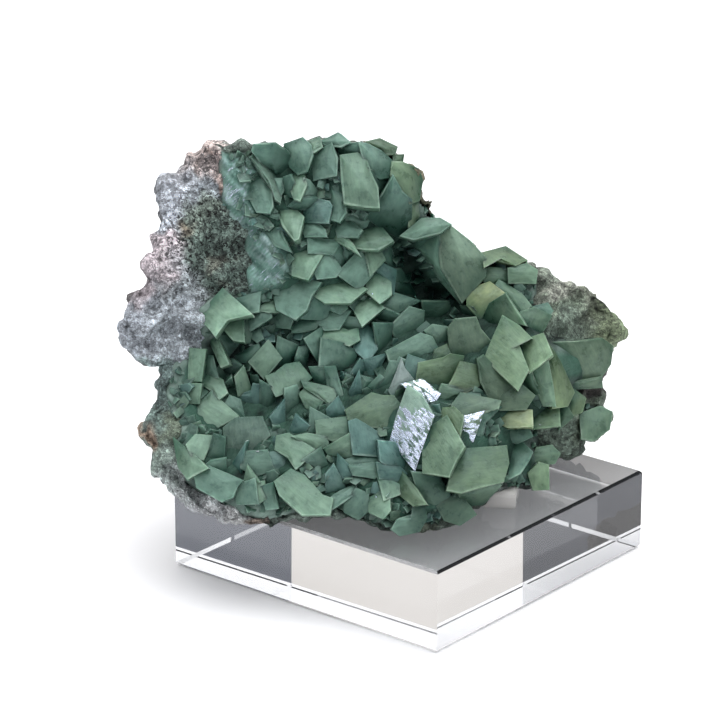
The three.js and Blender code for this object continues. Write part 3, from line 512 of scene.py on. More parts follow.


# The crystals: heulandite, a green zeolite, in thick tabular crystals grown together on a druse
# of small ones. Faces are satin and translucent, and painted with light and shade: pale where they
# stand out, dark at the roots.
# Each row is a face: its tone, how far it looks right and up, its height in mm over the relief,
# and its corners (u, v) in turn.
CRYSTALS = (
    # Crown, at the top of the face.
    ("m", -0.3, 0.15, 3, (-11.2,49.5, -7,51.8, -6,48.5, -6,45, -11,43.8)),
    ("p", 0.05, 0.4, 6, (-4.5,49, -0.5,49.5, 1.5,48.2, 2.2,45, 3.8,42, 4.4,37.2, 1.5,37.4, -3.5,38.2,
     -4,44)),
    ("m", 0.35, 0.25, 4, (0,52.3, 2,51.8, 5,50, 7.5,48, 8,44.5, 4.8,44.2, 2.3,46, 1.2,48.6)),
    ("d", 0.6, -0.3, 3, (2.3,46, 4.8,44.3, 7.8,44, 7,42, 5,39, 4.4,38.5)),
    ("d", 0.3, -0.4, 3.5, (8,44, 10,40, 12,38.5, 12,33, 9,30, 5.5,32, 2,34.5, 1.5,36, 5,38.5)),
    ("o", 0.6, 0.1, 2.5, (8.2,47.5, 10.5,47.3, 13.8,45.8, 14.7,43.5, 14.2,39, 12,38.2, 8,44.3)),
    ("o", 0.8, 0, 1.5, (12,38.2, 14,38.7, 15.2,34, 12,32.5)),
    ("m", -0.3, 0.2, 3, (-18,51.8, -13.9,53.2, -12.2,51.4, -11.9,49.4, -12.9,46.1, -15,45.3, -16.6,47)),
    ("p", 0, 0.6, 2.5, (-12,52.5, -10,53.3, -9.5,51.5, -11.5,50.2)),
    ("m", 0, 0.5, 2, (-9.5,52.6, -5.5,54.4, -4.8,54, -2.8,52.6, -5,51.8, -8,52)),
    ("d", 0, -0.2, 2, (-5,51.6, 0,52.3, 0.5,50, -1,49.6, -4.5,49.5)),
    ("n", 0.3, 0.3, 2, (2,52.6, 5,53, 8.5,51.5, 8,50, 6,49.9, 3.4,51.5)),
    ("o", 0.5, 0.2, 1.5, (8.5,49.2, 10.3,49.3, 10,47.8, 8.5,47.8)),
    ("p", -0.1, 0.35, 3, (-16.8,43.2, -15.8,44.8, -13.8,45.2, -13.4,42.2, -14.6,39, -15.9,39.4, -16.4,41.4)),
    ("m", 0.3, -0.1, 2, (-13.3,43.5, -12,42.8, -10.3,40.5, -10.2,38.5, -14,39.3)),
    ("l", -0.2, 0.1, 2.5, (-13.3,36.2, -11.2,38.6, -8,38, -7.3,37, -8,33.5, -12.9,33.5)),
    ("m", -0.2, 0.2, 3, (-7.2,42, -4,39, -3.8,36, -5,33.8, -7,34.5)),
    ("m", 0.1, -0.2, 2, (-3.8,34.8, -1.5,34.8, 1.7,33.5, 1,32.2, -0.5,31.8, -2,32.8)),
    ("m", -0.2, 0.2, 3, (-5.9,33, -4,34.2, -2,32.7, 0,31.5, -1,30, -5,30)),
    ("p", -0.3, 0.45, 3.5, (-6.8,32.3, -5.5,31.8, -2.3,28.5, -0.6,26, -4,28, -6.3,29.8)),
    ("p", 0.05, 0.45, 4.5, (0,31.6, 4.2,32.7, 7.2,29.2, 6.5,28.2, 4,27, 1.2,27.2, -0.8,27.3, -1.8,29.8)),
    ("m", -0.1, 0.2, 2.5, (-13.9,32.8, -11.2,33.5, -8.9,31.5, -8.5,30.1, -12.9,30.1)),
    # Upper left, beside the bare rock.
    ("d", 0.1, -0.2, 3, (-25.6,50, -25.2,51.6, -20.4,51.8, -17.8,50, -16,47, -17,44.6, -20,43.8,
     -21.5,46, -23,47, -24.8,49.2)),
    ("g", 0.5, 0.4, 3.5, (-26,48.6, -25.4,49.4, -21.4,45.6, -20.4,43.4, -19.2,39.8, -19.4,38.4,
     -20.6,39.4, -21.4,41.6, -22.6,43.8, -24.4,46)),
    ("m", 0.2, 0, 2.5, (-20.4,43.4, -18.6,43.4, -18.4,41.8, -19.2,39.9, -20.2,41.4)),
    ("d", -0.4, -0.1, 2.5, (-18.3,43.6, -16.8,44.2, -16,42, -15.9,39.5, -18,40, -18.6,41)),
    ("d", 0, -0.3, 2, (-14,39.4, -11,39, -10,38.4, -12,36.6, -15,36.4, -16.9,37.2)),
    ("m", -0.2, 0.1, 2.5, (-26.8,43, -23.1,43.2, -21.7,41.3, -21.4,37.6, -22,35.9, -24.8,36.2, -26.1,38.9)),
    ("p", -0.2, 0.5, 3.5, (-19,37.9, -16.3,36.6, -14.1,34.5, -15,29.8, -16,29.4, -18.3,32.8, -19.7,36.2)),
    ("m", -0.4, 0.1, 2.5, (-21.8,31.2, -20.4,31.4, -18.3,29.1, -17,26.4, -20.4,28.1, -22.4,30.4)),
    # Centre, above the hollow.
    ("p", -0.1, 0.4, 3.5, (-16,26, -12,26, -9.3,25.3, -11.3,22, -13.8,20.2, -16,20.8)),
    ("m", 0.1, 0.2, 2.5, (-12,26, -12.2,29.5, -8,29, -5,28.3, -6.2,26.6, -8,25.8)),
    ("m", 0.1, 0.1, 3, (-9.2,25.2, -7.5,26, -4.8,22, -6.2,20.4, -10,19.9, -11,22.5)),
    ("d", 0.4, -0.2, 2, (-5,28, -3.8,27.5, -4,25.5, -3.5,24, -4.6,22.2, -6.6,25.6)),
    ("d", 0.4, -0.1, 2, (-3.8,27.8, -1,26, -3,24.3, -3.9,25.5)),
    ("m", 0.2, 0.2, 3.5, (-0.5,25.8, 0.8,24.8, 2.2,21.8, 1.9,19.8, 0.2,17.8, -2.6,19, -4.8,20.6, -3.9,22.2)),
    ("p", 0, 0.5, 3, (-6,20.2, -1.2,18.2, 0.4,16.6, -2.8,14.2, -8,14.2, -11,15.8, -8.5,18.8)),
    ("m", -0.3, 0.2, 3.5, (-16,20, -12,19, -10.7,17.3, -12.2,15.5, -13.3,12.5, -15.6,10.3, -19.7,12.5,
     -20.3,15.3, -17.5,18)),
    ("b", 0.2, 0.1, 2, (-14,20.1, -11.2,22, -11,19.3, -12,19)),
    ("d", 0.1, -0.3, 2.5, (-12.2,16, -10.5,15.5, -7.5,13.5, -8,11.5, -10,10, -14.5,10.2)),
    ("p", 0.3, 0.2, 3.5, (1.2,26.3, 2.3,27.1, 4.4,26.8, 5.7,24.3, 3.6,21.9, 2.2,22.2)),
    ("d", 0.5, -0.1, 2, (6.8,28.8, 8.8,23.2, 7.7,22.4, 5.6,24.6, 5,26.5)),
    ("b", 0.2, 0.1, 3, (4,23.8, 7,22.2, 8.3,20.3, 8,16.3, 7,16.8, 6.8,19, 3,22)),
    ("p", 0.1, 0.4, 3.5, (1.9,21.5, 4,21.3, 6.9,18.7, 7.2,16.2, 4.8,14.2, 2,16.8)),
    ("p", -0.1, 0.4, 3, (-1.4,12.8, 1.2,14.6, 2.5,15.5, 4.5,13.5, 4.3,11.8, 2.2,10, 0,10)),
    ("m", 0.2, 0.1, 2.5, (8,15.8, 12.9,14.6, 11.4,12.9, 8,11.3, 4.6,12.2, 5.5,14.5)),
    ("d", 0.5, -0.3, 2, (8.3,21.6, 10.1,21.5, 12.9,16.8, 11.5,15.5, 8.1,15.7)),
    ("m", 0.3, 0, 3, (11.8,12.4, 15.2,11.6, 14.7,7.3, 9.8,4.2, 7.6,8, 9.8,10.1)),
    ("d", 0, -0.5, 1.5, (3,10.8, 6.2,12, 9.8,10.5, 8,8.9, 5,8.8, 0.5,9.2)),
    ("m", 0, 0, 2, (-4,10.3, -0.2,9.8, 0.3,8, -3.2,7.2, -5.4,8)),
    ("m", 0, 0.3, 2, (-8,13.5, -4,13.8, -3.5,12.5, -5,11.5, -7.3,12.3)),
    ("m", -0.1, 0.1, 2.5, (-10,9.2, -7.8,12.2, -4.2,11.8, -4,9.8, -5.4,7.8, -8.2,7.6)),
    ("p", 0, 0.5, 3.5, (-9.3,8, -5.5,7.9, -3.4,7, -1,7.6, -0.6,5, -2.6,4, -4.5,4.3, -9,5.6)),
    ("m", -0.2, 0.2, 2, (-16,10, -10.2,9.2, -11.2,7.6, -13.5,7.3, -16,6.8)),
    ("m", -0.1, 0.1, 2, (-13.5,7, -11,7.5, -10,8.8, -9.8,6, -12,4, -14,4)),
    # Right top, the long crystal over the deep gap.
    ("m", -0.05, 0.25, 8.9, (10.1,30.1, 15.2,33.8, 18.8,34, 21.5,32.7, 19,30.9, 13.5,29.4)),
    ("g", 0.1, 0.05, 8.8, (18.8,30.7, 21.3,32.6, 26.4,28.2, 29.9,24.6, 29.9,20.5, 25.8,15.7, 24.4,14.5,
     20,22.5)),
    ("d", -0.35, -0.1, 7.8, (10.8,29.6, 13.5,29.6, 18.8,30.7, 20.2,22.5, 24.4,14.4, 24.2,13.5, 19,19.6,
     15.8,24.6)),
    ("o", 0.1, 0.6, 4, (30,25.3, 31.5,26.2, 34.2,26.8, 36.5,26.1, 38.6,24.9, 39.4,24, 37,23, 33,24.3,
     30.5,22.5)),
    ("m", 0, 0.1, 2.5, (31.3,22, 35.9,21.8, 36.3,18.8, 33.8,18.9, 31.5,18.2, 30,19.5)),
    ("m", 0.1, 0.2, 2.5, (36.2,22, 40,22.8, 42.3,21.6, 42,18.8, 36.3,18.8)),
    ("c", -0.1, 0.4, 4.5, (26.3,15.6, 27.6,17.3, 30,18.1, 32.4,17.5, 34.8,15.8, 33.8,14.4, 30.3,11,
     28.9,10.2, 27.2,12.2, 26.2,13.8)),
    ("d", -0.5, -0.3, 2.5, (24.5,12.8, 27,12.3, 28.6,10.4, 25.8,10.2)),
    ("m", 0.3, 0.3, 2.5, (33.8,19.1, 36.5,17.2, 38.5,16, 41,13.4, 39.5,12.2, 38,12.8, 35.2,15.8, 33,17.7)),
    ("m", -0.3, -0.1, 3.5, (34.9,15.6, 38.1,10.6, 38,8.8, 35.2,9.7, 34.1,8.8, 32.4,5.2, 31.3,4.5, 29,8.2,
     30.6,11.5, 32.6,14)),
    ("m", 0.3, 0.1, 2.5, (38,11, 42,12.2, 45.8,10.6, 44,7.2, 42.6,5.4, 40.5,6.3, 38.2,8.4)),
    ("b", 0.1, 0.4, 2, (42.6,12, 43,13, 45,13.4, 46,12, 45.2,10.8)),
    ("d", 0.1, -0.3, 1.5, (15.3,14, 19,13.9, 21.3,13.2, 21.8,11.5, 19,8.3, 15.7,9.8)),
    ("m", 0.1, 0.1, 2.5, (16,6.8, 17.8,8.1, 21.2,7.6, 21.6,3.5, 18.6,2.5, 18,4)),
    ("g", 0, 0.05, 4, (23.2,9.4, 27.9,9.8, 28.8,7, 31,4.5, 30.3,0.8, 28,-1.4, 25,-0.8, 24.2,1, 22.2,1.6,
     21.6,7.3)),
    ("m", 0, 0.2, 3, (7.2,1, 8,2.8, 12,4.8, 14.5,6, 17,5.3, 18.5,2.5, 17.8,0, 14.5,0, 11.8,0.8, 9,0, 7.5,0)),
    ("o", 0, 0.3, 3, (18.5,2.3, 20.8,3.4, 21.3,1.6, 21.5,1.1, 20,0, 17.8,0)),
    # Left middle.
    ("p", -0.2, 0.5, 3.5, (-39,12.4, -36.2,13.2, -34,16, -31.8,15.6, -28,12.3, -28.2,10.8, -32.5,10,
     -34.9,6.2, -36,8, -38.9,10.5)),
    ("p", -0.2, 0.35, 4.5, (-33,10.2, -28.4,10.9, -28.2,4.8, -30.2,5.3, -31,5.8, -33.6,8.6)),
    ("g", 0.6, 0, 3.5, (-28.3,10.5, -26.1,7.7, -26.6,4.6, -28.2,4.8)),
    ("m", 0, 0.3, 2.5, (-30,14.6, -24.3,16.2, -24.8,12, -26.5,11.8, -28,12.4)),
    ("m", 0, 0.2, 2.5, (-28.1,10.8, -26.7,11.8, -22,12.2, -21.8,10.2, -26.1,7.6, -28,8.4)),
    ("p", 0.1, 0.4, 2.5, (-24.7,12.2, -22.5,13.8, -20.8,14, -20.1,11.8, -22,12)),
    ("m", -0.1, 0.1, 2, (-20,11.8, -18.6,12.8, -15.9,11.6, -17.1,8, -20.5,8.4)),
    # Left lower, blades and plates in the hollow.
    ("p", -0.2, 0.2, 4.5, (-41,2.4, -37.4,2.1, -38.4,-4.6, -41.3,-4.7)),
    ("p", -0.4, 0.2, 4.5, (-37,6, -34.6,6, -32.8,1.6, -32,-0.6, -33.6,-1.2, -35.2,2)),
    ("m", 0.2, 0, 3, (-34.5,6.2, -28.8,4.6, -31.8,1.2, -33,2.4)),
    ("m", -0.3, 0.1, 3, (-37.6,0.8, -35.6,0.5, -34.5,-3.9, -37.5,-3.9)),
    ("p", 0.1, 0.4, 4, (-38.9,-5.2, -36.4,-2.9, -33.5,-5, -32.4,-7.6, -34.2,-9, -35.4,-7.2, -37.4,-6)),
    ("p", 0.1, 0.2, 5, (-26.4,-0.4, -22.2,4.4, -20.2,1.6, -20.6,-1.2, -23,-4.2)),
    ("m", 0, 0.1, 3, (-30,1.2, -24.9,3.7, -24.4,2.2, -26.4,-0.4, -29.4,-0.2)),
    ("d", 0, -0.2, 3, (-32.8,-1.5, -31.6,-0.7, -30,-0.7, -28.2,-2, -28.8,-3.9, -32.2,-3.9)),
    ("p", 0.5, 0.1, 5, (-29.8,-4.4, -28,-1.9, -26.4,-6.6, -26.5,-8, -29.2,-8.2)),
    ("p", -0.1, 0.4, 5.5, (-22,-3.8, -20,-3.2, -18,-1.5, -15.8,-1, -13.7,-2.4, -12.1,-4.3, -15.4,-6.8,
     -17.8,-7.4, -20,-8.4, -21.3,-6)),
    ("m", 0.4, -0.1, 4, (-17.8,-7.4, -16,-6.8, -14.6,-8, -13.2,-11.3, -14.2,-12.7, -16.9,-13.4, -18,-12.3)),
    ("p", -0.1, 0.3, 4, (-13.9,-8, -13,-7.1, -9.2,-9.6, -10.6,-12.3, -12.9,-11, -14,-9)),
    ("m", 0.1, 0, 3, (-19.6,5.3, -15.2,3.2, -15.6,0.6, -16.4,-0.8, -20,-1.9, -20.2,1.4)),
    ("m", 0.2, 0, 3.5, (-15.6,-0.4, -14.6,2.6, -12.2,3.2, -12.8,-0.6, -13.4,-1.2)),
    ("m", 0.2, 0, 4, (-12,5.6, -9.2,7.6, -9,3, -9.6,0, -10.2,0, -11.9,3)),
    ("p", 0, 0.4, 3, (-38.8,-9.6, -37,-9.2, -35.6,-7.4, -34.4,-9.6, -31.9,-11.6, -29.8,-13.4,
     -33.9,-15.6, -37.2,-16, -42,-13, -41.4,-10.4)),
    ("m", 0.2, 0.2, 3.5, (-32.4,-11.2, -31.2,-8.9, -29,-10, -28.2,-13, -27.8,-14)),
    ("g", -0.1, 0.25, 4.5, (-32.4,-18, -32.2,-16.2, -29.8,-14.4, -26,-14.1, -23.4,-15.4, -22.4,-17.6,
     -23.4,-19.2, -26.4,-21.8, -30.8,-22.2, -32.3,-20.8)),
    ("p", -0.2, 0.1, 4, (-40.9,-6, -38.5,-6.2, -39,-10, -41.2,-10)),
    ("b", -0.1, -0.1, 3.5, (-29.2,-8.5, -26.4,-8, -26,-6.2, -24.2,-6.4, -23.8,-9, -24.2,-11.8, -26.5,-12,
     -29,-11.5)),
    ("d", 0.1, -0.2, 3, (-24,-7, -23.2,-5.8, -21.5,-6.8, -20.4,-8.4, -20.8,-10.5, -21.6,-13, -23,-13,
     -24,-11.5)),
    ("b", 0.4, 0, 4, (-21.2,-13.8, -19.4,-11.3, -18.2,-10, -18.2,-16.5, -20.5,-15.4)),
    ("p", -0.4, 0.2, 3.5, (-44.7,-19.8, -43.4,-20.4, -40.4,-23.2, -38,-25.2, -38.6,-26.6, -41.7,-28.2,
     -43.4,-25.6)),
    ("p", 0, 0.3, 4, (-39.6,-18.4, -36.9,-18.4, -36.6,-20.6, -37.9,-23.6, -40.4,-22.8, -41.4,-20.4)),
    ("m", 0.1, 0.1, 3.5, (-35.4,-18.4, -32.8,-19.1, -33.1,-22.8, -36,-24.6, -37.4,-24.2, -35.9,-21.5)),
    ("m", 0, 0, 3, (-37.6,-25.9, -35.6,-24.6, -32.8,-23.9, -32.6,-26.2, -34.2,-26.8)),
    ("m", -0.1, 0.2, 4, (-39.8,-26.4, -36.6,-26, -34.9,-26.6, -33.4,-27.4, -28.8,-29, -30.1,-30.3,
     -31,-32.6, -33.5,-33.6, -36.4,-32, -39,-30)),
    ("b", -0.3, 0.1, 3, (-31.2,-26.2, -29,-22.4, -28.1,-22.8, -28.6,-26.2, -28.4,-28.6)),
    ("m", 0, 0.1, 4, (-28.3,-22.4, -25,-22.2, -22.6,-22.4, -21.8,-24.6, -21.6,-26.6, -25,-27.4, -28.3,-26)),
    ("l", 0.1, 0.2, 3, (-22,-22.6, -18,-22.2, -17.4,-26.2, -20.7,-26.2, -22,-24.6)),
    ("p", -0.1, 0.2, 3.5, (-27.6,-29, -27.2,-26.6, -26.4,-26.6, -24.6,-29.2, -25.8,-30)),
    ("m", -0.2, 0.1, 3, (-30,-30.6, -27.4,-29.6, -25.4,-30.6, -25,-33.4, -26.8,-34.4, -29.4,-34.4)),
    ("p", 0.1, 0.2, 3, (-25.4,-30, -23.2,-29.6, -22.8,-33, -24.4,-34, -25.2,-32.4)),
    ("m", 0, 0.1, 3, (-22.8,-30.6, -21,-30, -20.4,-33, -20.8,-35.4, -22.6,-35.6, -23.2,-33)),
    # Lower centre and the front lip.
    ("s", -0.15, 0.05, 7, (11.8,-6.9, 14,-8.4, 15.8,-11, 17.3,-13.7, 16.6,-15.6, 15.2,-19.3, 13.9,-24,
     13.1,-26.2, 10.6,-23, 8.5,-20, 8.2,-17.1, 9.3,-13.6, 10.4,-10)),
    ("s", 0.2, 0.3, 5, (12.3,-5.6, 14.4,-5.2, 16.2,-6, 18.6,-7.8, 18,-9.6, 17,-11.3, 14.4,-8.4, 12.4,-7.2)),
    ("s", 0, 0.1, 5.5, (24.5,-14.5, 27,-13.4, 29.6,-12.7, 28.8,-14.5, 28,-17, 26.8,-19, 25.2,-18.3,
     24.5,-16.5)),
    ("p", 0, 0.35, 5, (-20,-29.9, -19.1,-28.6, -16.4,-26.6, -14.2,-27.8, -11.6,-30.2, -9.6,-32.4,
     -7,-33.2, -7.5,-36.2, -10.1,-36.9, -13.3,-36.8, -16,-35, -18.8,-32.6)),
    ("l", 0.05, 0.05, 3.5, (-6.3,-25.6, -4.9,-28.4, -3.8,-30.8, -8,-31.6, -7.9,-28)),
    ("p", -0.1, 0.3, 5, (-10.4,-15, -8,-14.5, -3.4,-13.9, -3.3,-16.5, -3.1,-18, -6.6,-19, -10,-18, -10,-17)),
    ("p", 0, 0.1, 4.5, (-2.7,-18.3, -5,-19.4, -8.2,-21.3, -7.2,-22.7, -3.6,-23.2, -1.8,-22.8, -1.7,-20.5)),
    ("b", 0.15, 0.15, 5, (-2.4,-15.2, -0.6,-14.6, 1.5,-16, 4.4,-17.8, 5.6,-19.4, 4.9,-21.6, 5,-23,
     2.4,-22.6, -1,-22.4, -1.6,-20.4)),
    ("o", 0, 0.3, 6, (-3,-12, -1.8,-11.2, 0.5,-9.8, 3.3,-8.5, 5,-9, 7.6,-8.8, 9,-10.5, 9.2,-12.2,
     7.8,-14.2, 6,-15.5, 4.5,-15.9, 1.8,-15.6, -1,-14.6, -2.4,-14)),
    ("p", -0.1, 0.3, 4.5, (-19.8,-18.6, -17.6,-18.2, -15,-19.4, -11,-21.8, -13.7,-24.2, -15.9,-25.6,
     -17.2,-23, -20,-21.6)),
    ("p", 0.1, 0.4, 4.5, (-15.8,-18.4, -12.2,-18, -8.4,-18.6, -8,-20.4, -10.4,-21.6, -13.6,-19.8)),
    ("m", 0.2, 0, 4, (-11.8,-23, -9.6,-21.6, -8.2,-25, -10,-25.6, -12.6,-24.6)),
    ("b", 0, 0.1, 3, (-15.9,-14.6, -14.8,-14.1, -12.6,-16, -14.2,-18, -17.2,-17.9)),
    ("m", -0.1, 0.2, 4, (-11,-12.2, -8,-13.9, -8.2,-14.6, -10.3,-15, -10.2,-17.3, -12.1,-17.6, -12,-14.5)),
    ("b", 0.1, 0.1, 4, (-5.8,-9.8, -4.4,-11.2, -3.5,-13, -3.2,-13.9, -7.4,-13.8, -7.6,-12)),
    ("b", 0.3, 0, 4.5, (5.1,-21.7, 6,-20, 7.7,-20.3, 9.9,-22.6, 12.3,-26.2, 11.6,-27.6, 8.6,-26.8,
     5.5,-24.3)),
    ("m", 0, 0.3, 3.5, (-3.2,-24.6, -1,-23.4, 1.8,-22.6, 3.5,-23.6, 3.3,-24.8, 0,-25.4, -2,-25.8)),
    ("m", 0, 0.1, 4, (-2,-26, 0.6,-25.2, 3.6,-24.9, 4.6,-26.4, 3.2,-28.2, -1.2,-27.6)),
    ("b", 0.2, 0.1, 4, (4.4,-24.9, 8.4,-25.2, 11,-27.4, 9.6,-29, 5.2,-28.4)),
    ("o", -0.3, 0.3, 5, (9.9,-27.3, 9.2,-30.9, 10.1,-32.6, 12.6,-34.6, 15.6,-34.4, 13.3,-31.4, 11.6,-29)),
    ("p", 0.2, 0.3, 4, (4.6,-28.6, 6.6,-28.6, 9.2,-30.2, 9.6,-32, 7,-33, 5.4,-31.4)),
    ("p", -0.2, 0.4, 4, (2.4,-33.6, 5.3,-31.8, 6.8,-33, 6.8,-36, 5.4,-37.8, 2.6,-36.4)),
    ("b", 0.1, 0.1, 3.5, (-5.2,-24.6, -3.8,-24.4, -2,-26.2, -2,-28, -3.6,-28.8, -5.2,-26.8)),
    ("m", -0.1, 0.3, 3.5, (-7.2,-33.3, -4.6,-32, -1.2,-30.1, -1.4,-31.6, -3.6,-33.8, -6.8,-36)),
    ("m", 0, 0, 3, (-3.4,-34, -1,-31.4, 1.6,-32.6, 1.8,-36, -0.4,-38, -3.4,-36.4)),
    ("o", 0.05, 0.25, 4.5, (15.8,-1, 17.5,-0.4, 20,0, 21.5,1, 23.5,0.8, 24.3,-0.6, 23.6,-3.2, 21.5,-5,
     20,-6.5, 18.3,-6.6, 16.4,-5.4, 14,-5, 14.4,-2.6)),
    ("o", 0.1, 0.25, 5, (24.2,-1, 25.5,-1, 28,-1.5, 29,-2, 29.2,-4, 28,-6.2, 26,-7.2, 24,-7, 21.8,-6,
     23,-4.2)),
    ("m", 0.1, 0.1, 4, (21,-6.2, 23.8,-6.6, 26.2,-7.4, 25,-8.5, 23.5,-8.6, 21.5,-9.4, 19.2,-10.4,
     19,-8.4, 19.8,-6.8)),
    ("g", 0.2, 0.1, 5, (28.5,-0.2, 29.5,0.4, 30.8,-0.2, 32,-1.6, 34,-3.4, 36.6,-5.7, 35,-7.2, 33.8,-7.8,
     33.4,-9, 31,-8.6, 30.4,-7, 29.6,-5.2, 29,-2.2)),
    ("g", 0, 0.35, 6, (24.4,-8.6, 27,-8.8, 28.5,-9.2, 33.5,-9.8, 33,-11.2, 30,-12.4, 27,-13.2,
     25.2,-13.8, 24.4,-13.2, 23.2,-12, 22.8,-10.5)),
    ("o", -0.3, 0.2, 6, (20.2,-11.9, 22,-11.8, 23.2,-12.4, 24.4,-13.6, 24.2,-15.2, 23.9,-17.8,
     22.8,-16.8, 21.2,-14.3, 19.9,-14)),
    ("b", 0.5, -0.1, 5, (29.8,-12.7, 33,-11.2, 33.8,-11.8, 31,-14, 29.8,-17, 29.6,-20, 28,-21,
     26.8,-20.8, 28,-17.4)),
    ("p", -0.2, 0.25, 8, (20.6,-14, 21.8,-15.6, 23.9,-19.5, 24.4,-21.2, 23,-23.4, 21.8,-26.4, 20,-27.4,
     17,-27, 15.4,-25.2, 15.6,-21.4, 17.2,-16.4, 19.3,-15)),
    ("p", 0.1, 0.3, 8, (25.3,-22, 28,-21.6, 33,-21.1, 35,-21.4, 35.4,-25, 34.4,-28.2, 32.8,-29.4,
     30,-29.9, 26,-31.2, 24,-31.5, 21.4,-31.1, 22.4,-27.4, 23.2,-23.8)),
    ("m", 0.3, -0.6, 6, (24,-31.9, 26.4,-31.6, 30.4,-30.3, 33.2,-29.7, 33.6,-30.6, 31.4,-32.6,
     29.6,-34.4, 25.8,-35)),
    ("m", 0.1, -0.1, 4, (12.8,-27.4, 14.6,-27.6, 17.6,-28, 19.4,-29.2, 20.8,-31.6, 21.6,-33.6, 18,-36,
     15.8,-34.2, 14.2,-31.4)),
    ("m", 0.1, 0, 3.5, (19,-35.4, 22,-33.4, 24.6,-33.6, 26.2,-35.6, 27.6,-37.2, 24,-39.4, 20.8,-38.4)),
    ("m", 0, 0, 3.5, (12.6,-35.4, 15.4,-35.6, 15.6,-38.4, 14,-41, 10,-42, 8,-40.6, 9.6,-38.4, 12.4,-37.8)),
    ("p", 0, 0.3, 3, (41,-11.8, 44.6,-11.8, 47.6,-12.2, 47.8,-15.6, 43.4,-16.2, 41.2,-15.4)),
    ("y", -0.05, 0.3, 5.5, (33.2,-13.8, 34,-12.2, 37,-11.9, 41,-12.2, 41.2,-15.8, 36,-15.8, 34,-15)),
    ("g", 0, 0.1, 5, (33.8,-8.2, 36.2,-6.3, 38.4,-5.9, 41.2,-8.2, 41,-9.6, 39.6,-11.6, 34.2,-11.8,
     33.6,-9.6)),
    ("b", 0.1, 0.1, 3, (34.4,-17, 36.4,-16.2, 40,-16.4, 41.2,-18.4, 38,-19.6, 35,-19.4)),
    ("b", -0.1, 0.3, 4, (35.4,-21, 38.6,-19.9, 41.2,-22.4, 40,-24.4, 38.6,-26.8, 36.6,-28, 35.8,-26)),
    ("p", 0.1, 0.1, 4, (41,-27.4, 43.2,-25.2, 45.2,-25.8, 45.3,-29, 44.4,-30.8, 42,-30.9)),
    ("m", 0.1, 0.1, 3, (41.8,-24, 43,-21.4, 46,-21, 47.8,-22.6, 46.6,-24.6, 43.6,-25)),
    # Right, the tall pyramids and the dark side.
    ("p", 0, 0.3, 7, (35,9.7, 36.4,9, 38.2,7.8, 41,4.9, 38.3,4.3, 38.1,3.1, 39,1, 40.3,-1.9, 38.5,-5.7,
     36.6,-5.4, 32.8,-1.6, 30.5,0.6, 31.9,3.7, 33.4,7.6)),
    ("p", -0.3, 0.3, 8, (39,4.1, 41,4.9, 43.9,6.1, 45.8,1.5, 45.1,0.9, 42.4,-1.2, 40.8,-2.5, 38.3,1.8)),
    ("o", 0.6, 0, 7, (44.4,5.6, 46.6,2, 48.8,-1.9, 51.4,-7.4, 50,-10.6, 47.4,-11, 46.2,-8.6, 45.6,-3,
     45.6,0.6)),
    ("m", -0.2, -0.2, 7, (45.1,0.9, 42.6,-1.4, 41.4,-2.6, 43.3,-8, 44.2,-10.6, 47,-10.8, 46,-6.4, 45.6,-3)),
    ("d", -0.3, -0.4, 4.5, (40.2,-2.8, 41.2,-2.6, 43,-7.6, 41.6,-8.2, 38.8,-6)),
    ("g", 0.3, 0, 4, (46.4,4.1, 52.5,4.1, 58.1,4.8, 60.6,3.1, 60,-0.9, 58.1,-3.6, 51.4,-5, 50.1,-2.8,
     47.9,1.2)),
    ("g", 0.3, -0.3, 2.5, (51.4,-5.4, 57.8,-4.2, 58,-6.6, 52.2,-6.9)),
    ("m", 0.2, 0.2, 3, (53.5,-14.4, 55,-12.6, 57.9,-11.6, 60.4,-12.8, 60,-15, 58.8,-17.2, 56.4,-19,
     53.8,-18.6)),
    ("o", 0.2, 0.2, 2.5, (50,-8.6, 51.8,-7.6, 54,-9.4, 53.4,-12, 51,-13)),
    ("m", 0.1, 0.1, 2.5, (48.2,-12, 50,-12, 51,-13.6, 49.6,-15, 48.2,-14.4)),
    # The hollow below the centre.
    ("m", 0.1, 0.1, 4.5, (-9,5, -4,3.6, -2,2.4, -1.3,1, -2,-0.5, -3.5,-1.6, -6,-2, -8.5,-2, -9.4,0)),
    ("m", -0.2, 0, 4, (-8.5,-2, -6,-2, -5.5,-4, -4.8,-7, -4,-10, -5.5,-9.7, -6.2,-7, -7.4,-6.4, -8,-4)),
    ("m", -0.3, -0.1, 3.5, (-12,-2, -8.6,-2, -7.6,-6.4, -10.5,-5.9)),
    ("p", -0.1, 0.4, 4.5, (-13.8,-5.3, -10.5,-5.9, -6.2,-6.9, -6.4,-9.8, -7.6,-10.5, -9.2,-9.2, -13,-6.8)),
    ("b", 0, 0.1, 3.5, (-1.2,-5, -0.2,-3.8, 0.2,-8, -2.1,-9, -2.2,-7.4)),
    ("m", 0.2, 0, 3, (0.4,-4, 2,-4.7, 3.3,-5, 0.9,-7.8, 0.3,-8)),
    ("b", 0.2, 0, 3, (-0.4,-0.9, 0.5,-0.6, 2,-2.4, 0.4,-3.6, -1.9,-3.2)),
    ("b", 0.1, 0.1, 3, (1.9,-2.2, 1.9,0, 4,0.4, 5,0.8, 4.8,-1.5, 4,-3, 3.4,-4.4, 2.6,-4)),
    ("m", -0.1, 0.1, 4.5, (7.3,-0.8, 8.5,-0.8, 9.2,0.2, 10.6,-0.3, 9.4,-2.8, 8.2,-5.8, 7,-7.2, 5,-7,
     4.4,-6.4, 5.6,-4.6)),
    ("m", -0.2, 0, 3.5, (2,-7, 2.4,-6, 4.4,-4, 5.4,-4.6, 4.2,-6.6, 3,-7.6)),
    ("k", 0, 0.3, 5, (9.3,-2, 10.2,-1, 10.6,-2.5, 11.7,-3.8, 11.2,-5.8, 9.2,-7, 8.1,-8.6, 7.2,-7,
     8.2,-5.4, 8.8,-3.6)),
